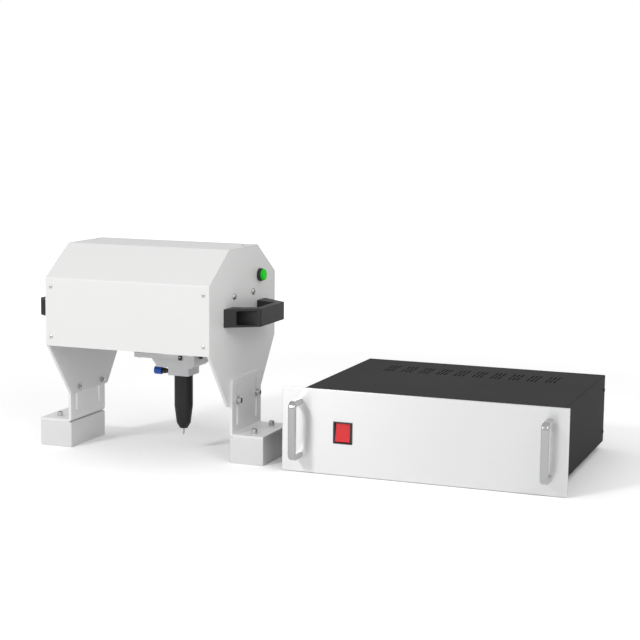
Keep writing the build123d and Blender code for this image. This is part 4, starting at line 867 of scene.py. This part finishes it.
sensor_high = Vector((sensor_left + sensor_width, 0, low.z + sensor_height))
sensor_outline = cut_square(sensor_low, sensor_high, sensor_corner)
sensor = prism(sensor_outline, sensor_front, low.y + sensor_sunk, sensor_edge)
plate_parts.append((sensor, sensor_plastic))
seat = (sensor_left + sensor_width / 2, sensor_front, low.z + sensor_height * sensor_screw_share)
plate_parts.append((turned(sensor_screw, seat, (0, -1, 0), sensor_recess, sensor_screw_sides), plated))
make_piece("plate_screw_heads", plate_parts, "y_slide", ["plate_screws"])

# Stylus
# A black anodised body, turned with a long soft taper, around the piston and its return spring. The
# ground pin ends in a hard cone.

stylus_colour = (0.020, 0.020, 0.021)
pin_colour = (0.56, 0.55, 0.53)
stylus_edge = 0.3
pin_edge = 0.1
spring_wire = 0.7
spring_turns = 11
spring_steps = 18

black_anodised = lined("black_anodised", stylus_colour, stretch=(120, 120, 3500), depth=0.3,
                       relief=0.006, roughness=0.34, metallic=0.4)
ground_pin = lined("ground_pin", pin_colour, stretch=(60, 60, 4000), depth=0.12, relief=0.002,
                   roughness=0.18, spread=0.1)
soften(black_anodised, stylus_edge, "stylus_body")
soften(ground_pin, pin_edge, "stylus_pin")


def wire(points, radius, closed, sides=10):
    """A round wire along these points."""
    rings = []
    aside = None
    for index, point in enumerate(points):
        before = points[index - 1] if index or closed else point
        after = points[(index + 1) % len(points)] if index < len(points) - 1 or closed else point
        way = (after - before).normalized()
        aside = way.orthogonal() if aside is None else aside - way * aside.dot(way)
        aside.normalize()
        up = way.cross(aside)
        spokes = [aside * math.cos(turn) + up * math.sin(turn) for turn in turns(sides)]
        rings.append([point + spoke * radius for spoke in spokes])
    return joined(rings, closed)


low, high = drawn("return_spring")
middle = (low + high) / 2
coil_radius = (high.x - low.x) / 2 - spring_wire
coil_length = high.z - low.z - spring_wire * 2
coil_steps = spring_turns * spring_steps
coil_points = []
for index in range(coil_steps + 1):
    turn = 2 * math.pi * index / spring_steps
    height = low.z + spring_wire + coil_length * index / coil_steps
    spoke = Vector((math.cos(turn), math.sin(turn), 0))
    coil_points.append(Vector((middle.x, middle.y, height)) + spoke * coil_radius)
coil_parts = [(wire(coil_points, spring_wire, False), ground_pin)]
coil = make_piece("return_spring_coil", coil_parts, "y_slide", ["return_spring"])
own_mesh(coil)

# Air fitting
# A push-in fitting: a black turned neck screwed into the holder and a blue moulded collar that lets the
# tube go when it is pressed.

collar_colour = (0.012, 0.10, 0.52)
fitting_edge = 0.2
collar_edge = 0.3

collar_plastic = coated("collar_plastic", collar_colour, clouds=120.0, roughness=0.32)
fitting_plastic = coated("fitting_plastic", bezel_colour, clouds=120.0, cloud_depth=0.2, roughness=0.36)
soften(fitting_plastic, fitting_edge, "air_fitting")
soften(collar_plastic, collar_edge, "release_collar")

# Sockets at the back of the head
# A round metal socket for the controller's lead, with gilded pins in a black insert, and a threaded inlet
# for air. Both are turned and nickel plated, and four small screws hold the square flange of each.

socket_colour = (0.50, 0.50, 0.50)
gilt_colour = (0.80, 0.56, 0.22)
insert_colour = (0.018, 0.018, 0.018)
socket_half = 14.0
socket_corner = 1.5
socket_flange = 2.0
socket_flange_edge = 0.3
socket_screw_reach = 11.2
socket_screw_sides = 20
socket_screw = [(1.0, -1.0), (1.0, 0.0), (1.7, 0.0), (1.7, 0.4), (1.5, 0.8), (1.0, 1.0)]
socket_screw_recess = [(0.8, 0.95, cross), (0.7, 0.4, cross)]
socket_body_radius = 10.8
socket_root_radius = 10.2
socket_threads = 5
socket_thread_start = 0.4
socket_thread_root = 0.8
socket_thread_crest = 1.1
socket_inside = 14.0
socket_mouth = 8.0
socket_mouth_edge = 0.2
socket_floor = 3.5
lead_bore = 10.0
air_bore = 7.0
air_throat = [(4.8, 3.3), (4.8, -12.0)]
insert_outline = [(9.9, 3.3), (9.9, 4.3), (9.6, 4.6)]
contact = [(0.6, 4.4), (0.6, 6.6), (0.5, 6.9), (0.3, 7.1)]
contact_circle = 5.6
contact_count = 6
contact_sides = 12

nickel = lined("nickel_plate", socket_colour, stretch=(200, 200, 200), depth=0.2, roughness=0.26,
               clouds=60.0)
gilt = lined("gilded_brass", gilt_colour, stretch=(300, 300, 300), depth=0.15, relief=0.002,
             roughness=0.24, spread=0.1, clouds=80.0)
insert_plastic = coated("insert_plastic", insert_colour, clouds=150.0, roughness=0.36)


def round_socket(across, back, height, bore, throat=()):
    """The parts of a socket that stands out of a wall whose outer face is at back."""
    flange_low = Vector((across - socket_half, 0, height - socket_half))
    flange_high = Vector((across + socket_half, 0, height + socket_half))
    flange_outline = cut_square(flange_low, flange_high, socket_corner)
    flange = prism(flange_outline, back, back + socket_flange, socket_flange_edge)
    outline = [
        (socket_body_radius, -socket_inside), (socket_body_radius, socket_flange + socket_thread_start)]
    for index in range(socket_threads):
        outline.append((socket_root_radius, socket_flange + index + socket_thread_root))
        outline.append((socket_body_radius, socket_flange + index + socket_thread_crest))
    outline += [
        (socket_root_radius, socket_mouth), (bore + socket_mouth_edge, socket_mouth),
        (bore, socket_mouth - socket_mouth_edge), (bore, socket_floor), *throat]
    barrel = turned(outline, (across, back, height), (0, 1, 0), sides=screw_sides)
    socket_parts = [(flange, nickel), (barrel, nickel)]
    for x in (-socket_screw_reach, socket_screw_reach):
        for z in (-socket_screw_reach, socket_screw_reach):
            seat = (across + x, back + socket_flange, height + z)
            screw = turned(socket_screw, seat, (0, 1, 0), socket_screw_recess, socket_screw_sides)
            socket_parts.append((screw, plated))
    return socket_parts


def lead_socket(across, back, height):
    """A round socket with its insert and pins."""
    socket_parts = round_socket(across, back, height, lead_bore)
    insert = turned(insert_outline, (across, back, height), (0, 1, 0), sides=screw_sides)
    socket_parts.append((insert, insert_plastic))
    spots = [(0, 0)]
    for turn in turns(contact_count):
        spots.append((math.cos(turn) * contact_circle, math.sin(turn) * contact_circle))
    for x, z in spots:
        pin = turned(contact, (across + x, back, height + z), (0, 1, 0), sides=contact_sides)
        socket_parts.append((pin, gilt))
    return socket_parts


low, high = drawn("head_sockets")
back = high.y - socket_mouth
head_pair = lead_socket(low.x + socket_half, back, low.z + socket_half)
head_pair += round_socket(high.x - socket_half, back, high.z - socket_half, air_bore, air_throat)
make_piece("head_socket_pair", head_pair, "head", ["head_sockets"])

# Front panel
# A thick aluminium panel, finely brushed from side to side and clear anodised, with softened edges. It
# stands against the front wall of the controller's tray.

panel_colour = (0.835, 0.835, 0.84)
panel_edge = 0.2

panel_metal = lined("panel_aluminium", panel_colour, stretch=(8, 600, 3000), depth=0.04, roughness=0.32,
                    spread=0.08, metallic=0.8, clouds=4.0,
                    **{"Anisotropic": 0.85, "Anisotropic Rotation": 0.25})
soften(panel_metal, panel_edge, "front_panel")

# Rack handles
# Aluminium bars bent to a U with round corners and satin anodised. They are screwed on from behind the
# panel.

rack_handle_colour = (0.52, 0.52, 0.525)
rack_handle_edge = 0.3

handle_metal = lined("satin_aluminium", rack_handle_colour, stretch=(900, 900, 30), depth=0.06,
                     roughness=0.22, spread=0.08)
soften(handle_metal, rack_handle_edge, "rack_handle_left", "rack_handle_right")

# Power switch
# A red rocker that turns in a glossy black frame, both moulded. The frame snaps into a cutout in the
# panel.

rocker_colour = (0.68, 0.016, 0.022)
switch_edge = 0.2
rocker_edge = 0.3

rocker_plastic = coated("rocker_plastic", rocker_colour, clouds=80.0, cloud_depth=0.12, relief=0.008,
                        roughness=0.26, spread=0.06, **{"Coat Weight": 0.4})
soften(bezel_plastic, switch_edge, "switch_body")
soften(rocker_plastic, rocker_edge, "rocker")

# Controller case
# Bent steel sheet in a black textured coat: a tray with the wall behind the panel, a top cover with ten
# groups of vent slots, and a rear panel, held by small screws.

case_colour = (0.022, 0.022, 0.023)
case_edge = 0.2
top_cover_edge = 0.25
case_screw_edge = 0.3

case_coat = coated("case_coat", case_colour, clouds=6.0, grain=1500.0, relief=0.04, roughness=0.52,
                   **{"Specular IOR Level": 0.05})
soften(case_coat, case_edge, "chassis_tray")
soften(case_coat, top_cover_edge, "top_cover")
soften(case_coat, case_edge, "rear_panel")
soften(black_steel, case_screw_edge, "chassis_screws")

# Rubber feet
# Four moulded feet of soft black rubber under the tray. They hold the case and the panel's lower edge
# clear of the table.

foot_edge = 0.4

foot_rubber = coated("foot_rubber", belt_colour, clouds=50.0, cloud_depth=0.2, grain=1200.0,
                     relief=0.08, roughness=0.75, spread=0.1)
soften(foot_rubber, foot_edge, "rubber_feet")

# Fan
# A moulded frame and rotor behind the rear panel, and outside it a guard of plated wire rings, welded to
# two crossing wires. Four screws hold them.

fan_frame_edge = 0.4
fan_rotor_edge = 0.2
guard_wire = 0.8
guard_rings = 4
guard_radius = 38.0
guard_steps = 64
guard_screw_reach = 35.75
guard_spoke_reach = 33.35
guard_seat_inset = 1.6

fan_plastic = coated("fan_plastic", bezel_colour, clouds=60.0, cloud_depth=0.2, grain=1500.0,
                     relief=0.02, roughness=0.45, spread=0.1)
soften(fan_plastic, fan_frame_edge, "fan_frame")
soften(fan_plastic, fan_rotor_edge, "fan_rotor")
low, high = drawn("fan_guard")
middle = (low + high) / 2
depth = high.y - guard_wire
guard_parts = []
for index in range(guard_rings):
    radius = guard_radius * (index + 1) / guard_rings
    circle = [around(middle, depth, radius, turn) for turn in turns(guard_steps)]
    guard_parts.append((wire(circle, guard_wire, True), nickel))
for lean in (-1, 1):
    ends = []
    for side in (-1, 1):
        reach = guard_spoke_reach * side
        ends.append(Vector((middle.x + reach, depth, middle.z + reach * lean)))
    spoke = wire([ends[0], (ends[0] + ends[1]) / 2, ends[1]], guard_wire, False)
    guard_parts.append((spoke, nickel))
    for side in (-1, 1):
        reach = guard_screw_reach * side
        seat = (middle.x + reach, high.y - guard_seat_inset, middle.z + reach * lean)
        guard_parts.append((turned(small_head, seat, (0, 1, 0), small_recess), black_steel))
make_piece("fan_guard_wires", guard_parts, "base", ["fan_guard"])

# Mains inlet and lead sockets
# A moulded mains inlet with three plated blades, and two sockets for the head's lead and a data lead,
# turned and plated like the one on the head.

inlet_edge = 0.3
blade_rows = 4.0
blade_columns = 8.2
blade_root = 16.9


def repaint(node, material, within):
    """Give the faces of a CAD node whose middles lie within a part of it that part's own material."""
    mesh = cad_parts[node].data
    mesh.materials.append(material)
    for face in mesh.polygons:
        if within(face.center * 1000 + drawing_middle):
            face.material_index = len(mesh.materials) - 1


soften(fan_plastic, inlet_edge, "mains_inlet")
inlet_low, inlet_high = drawn("mains_inlet")
inlet_middle = (inlet_low + inlet_high) / 2
repaint("mains_inlet", plated, lambda spot: (
    abs(spot.x - inlet_middle.x) < blade_columns and abs(spot.z - inlet_middle.z) < blade_rows
    and spot.y > inlet_high.y - blade_root))
low, high = drawn("lead_sockets")
back = high.y - socket_mouth
rear_pair = lead_socket(low.x + socket_half, back, low.z + socket_half)
rear_pair += lead_socket(high.x - socket_half, back, low.z + socket_half)
make_piece("lead_socket_pair", rear_pair, "base", ["lead_sockets"])

# Electronics and air valve
# A supply in a steel case with painted shade for its punched holes: black dots on its top where the
# dark insides would show. A green printed board with its parts, two motor drivers with cooling fins and
# the valve that drives the stylus, with its black coil.

supply_colour = (0.55, 0.55, 0.53)
board_colour = (0.012, 0.16, 0.045)
shade_dot_pitch = 6.0
shade_dot_radius_share = 0.22
upward = 0.5
supply_edge = 0.4
board_edge = 0.2
unit_edge = 0.3

# From the node's lowest corner: where its parts end or begin.
strip_depth = 13.9
strip_height = 16.1
board_foot = 7.9
board_face = 9.7
connector_rows = (13.0, 22.0)
capacitor_row = 80.0
valve_body_height = 32.1

supply_sheet = lined("supply_steel", supply_colour, stretch=(60, 900, 900), depth=0.12, relief=0.006,
                     roughness=0.38, spread=0.2)
tree = supply_sheet.node_tree
surface_colour = tree.nodes["Principled BSDF"].inputs["Base Color"]
spot = tree.nodes.new("ShaderNodeTexCoord")
place = tree.nodes.new("ShaderNodeSeparateXYZ")
tree.links.new(spot.outputs["Object"], place.inputs[0])
facing = tree.nodes.new("ShaderNodeSeparateXYZ")
tree.links.new(spot.outputs["Normal"], facing.inputs[0])
# Painted shade: black dots in a square grid on the top of the supply's case stand for its punched holes,
# whose insides would be dark. No holes are cut, and the sides stay plain metal.
offsets = []
for axis in ("X", "Y"):
    column = maths(tree, "MULTIPLY", place.outputs[axis], 1000 / shade_dot_pitch)
    offset = maths(tree, "SUBTRACT", maths(tree, "FRACT", column), 0.5)
    offsets.append(maths(tree, "MULTIPLY", offset, offset))
metal_not_hole_shade = maths(tree, "GREATER_THAN", maths(tree, "ADD", *offsets), shade_dot_radius_share * shade_dot_radius_share)
metal_not_hole_shade = maths(tree, "MAXIMUM", metal_not_hole_shade, maths(tree, "LESS_THAN", facing.outputs["Z"], upward))
colour_with_painted_hole_shade = scaled(tree, surface_colour.links[0].from_socket, metal_not_hole_shade)
tree.links.new(colour_with_painted_hole_shade, surface_colour)
board_laminate = coated("board_laminate", board_colour, clouds=400.0, cloud_depth=0.4, grain=1200.0,
                        relief=0.03, roughness=0.4, spread=0.15)
soften(supply_sheet, supply_edge, "power_supply")
supply_low = drawn("power_supply")[0]
repaint("power_supply", insert_plastic, lambda spot: (
    spot.y < supply_low.y + strip_depth and spot.z < supply_low.z + strip_height))
soften(board_laminate, board_edge, "control_board")
board_low = drawn("control_board")[0]
repaint("control_board", nickel, lambda spot: spot.z < board_low.z + board_foot)
repaint("control_board", insert_plastic, lambda spot: spot.z > board_low.z + board_face)
repaint("control_board", white_nylon, lambda spot: (
    spot.z > board_low.z + board_face
    and connector_rows[0] < spot.y - board_low.y < connector_rows[1]))
repaint("control_board", fan_plastic, lambda spot: (
    spot.z > board_low.z + board_face and spot.y > board_low.y + capacitor_row))
soften(motor_lacquer, unit_edge, "motor_drivers")
soften(milled, unit_edge, "air_valve")
valve_low = drawn("air_valve")[0]
repaint("air_valve", fan_plastic, lambda spot: spot.z > valve_low.z + valve_body_height)
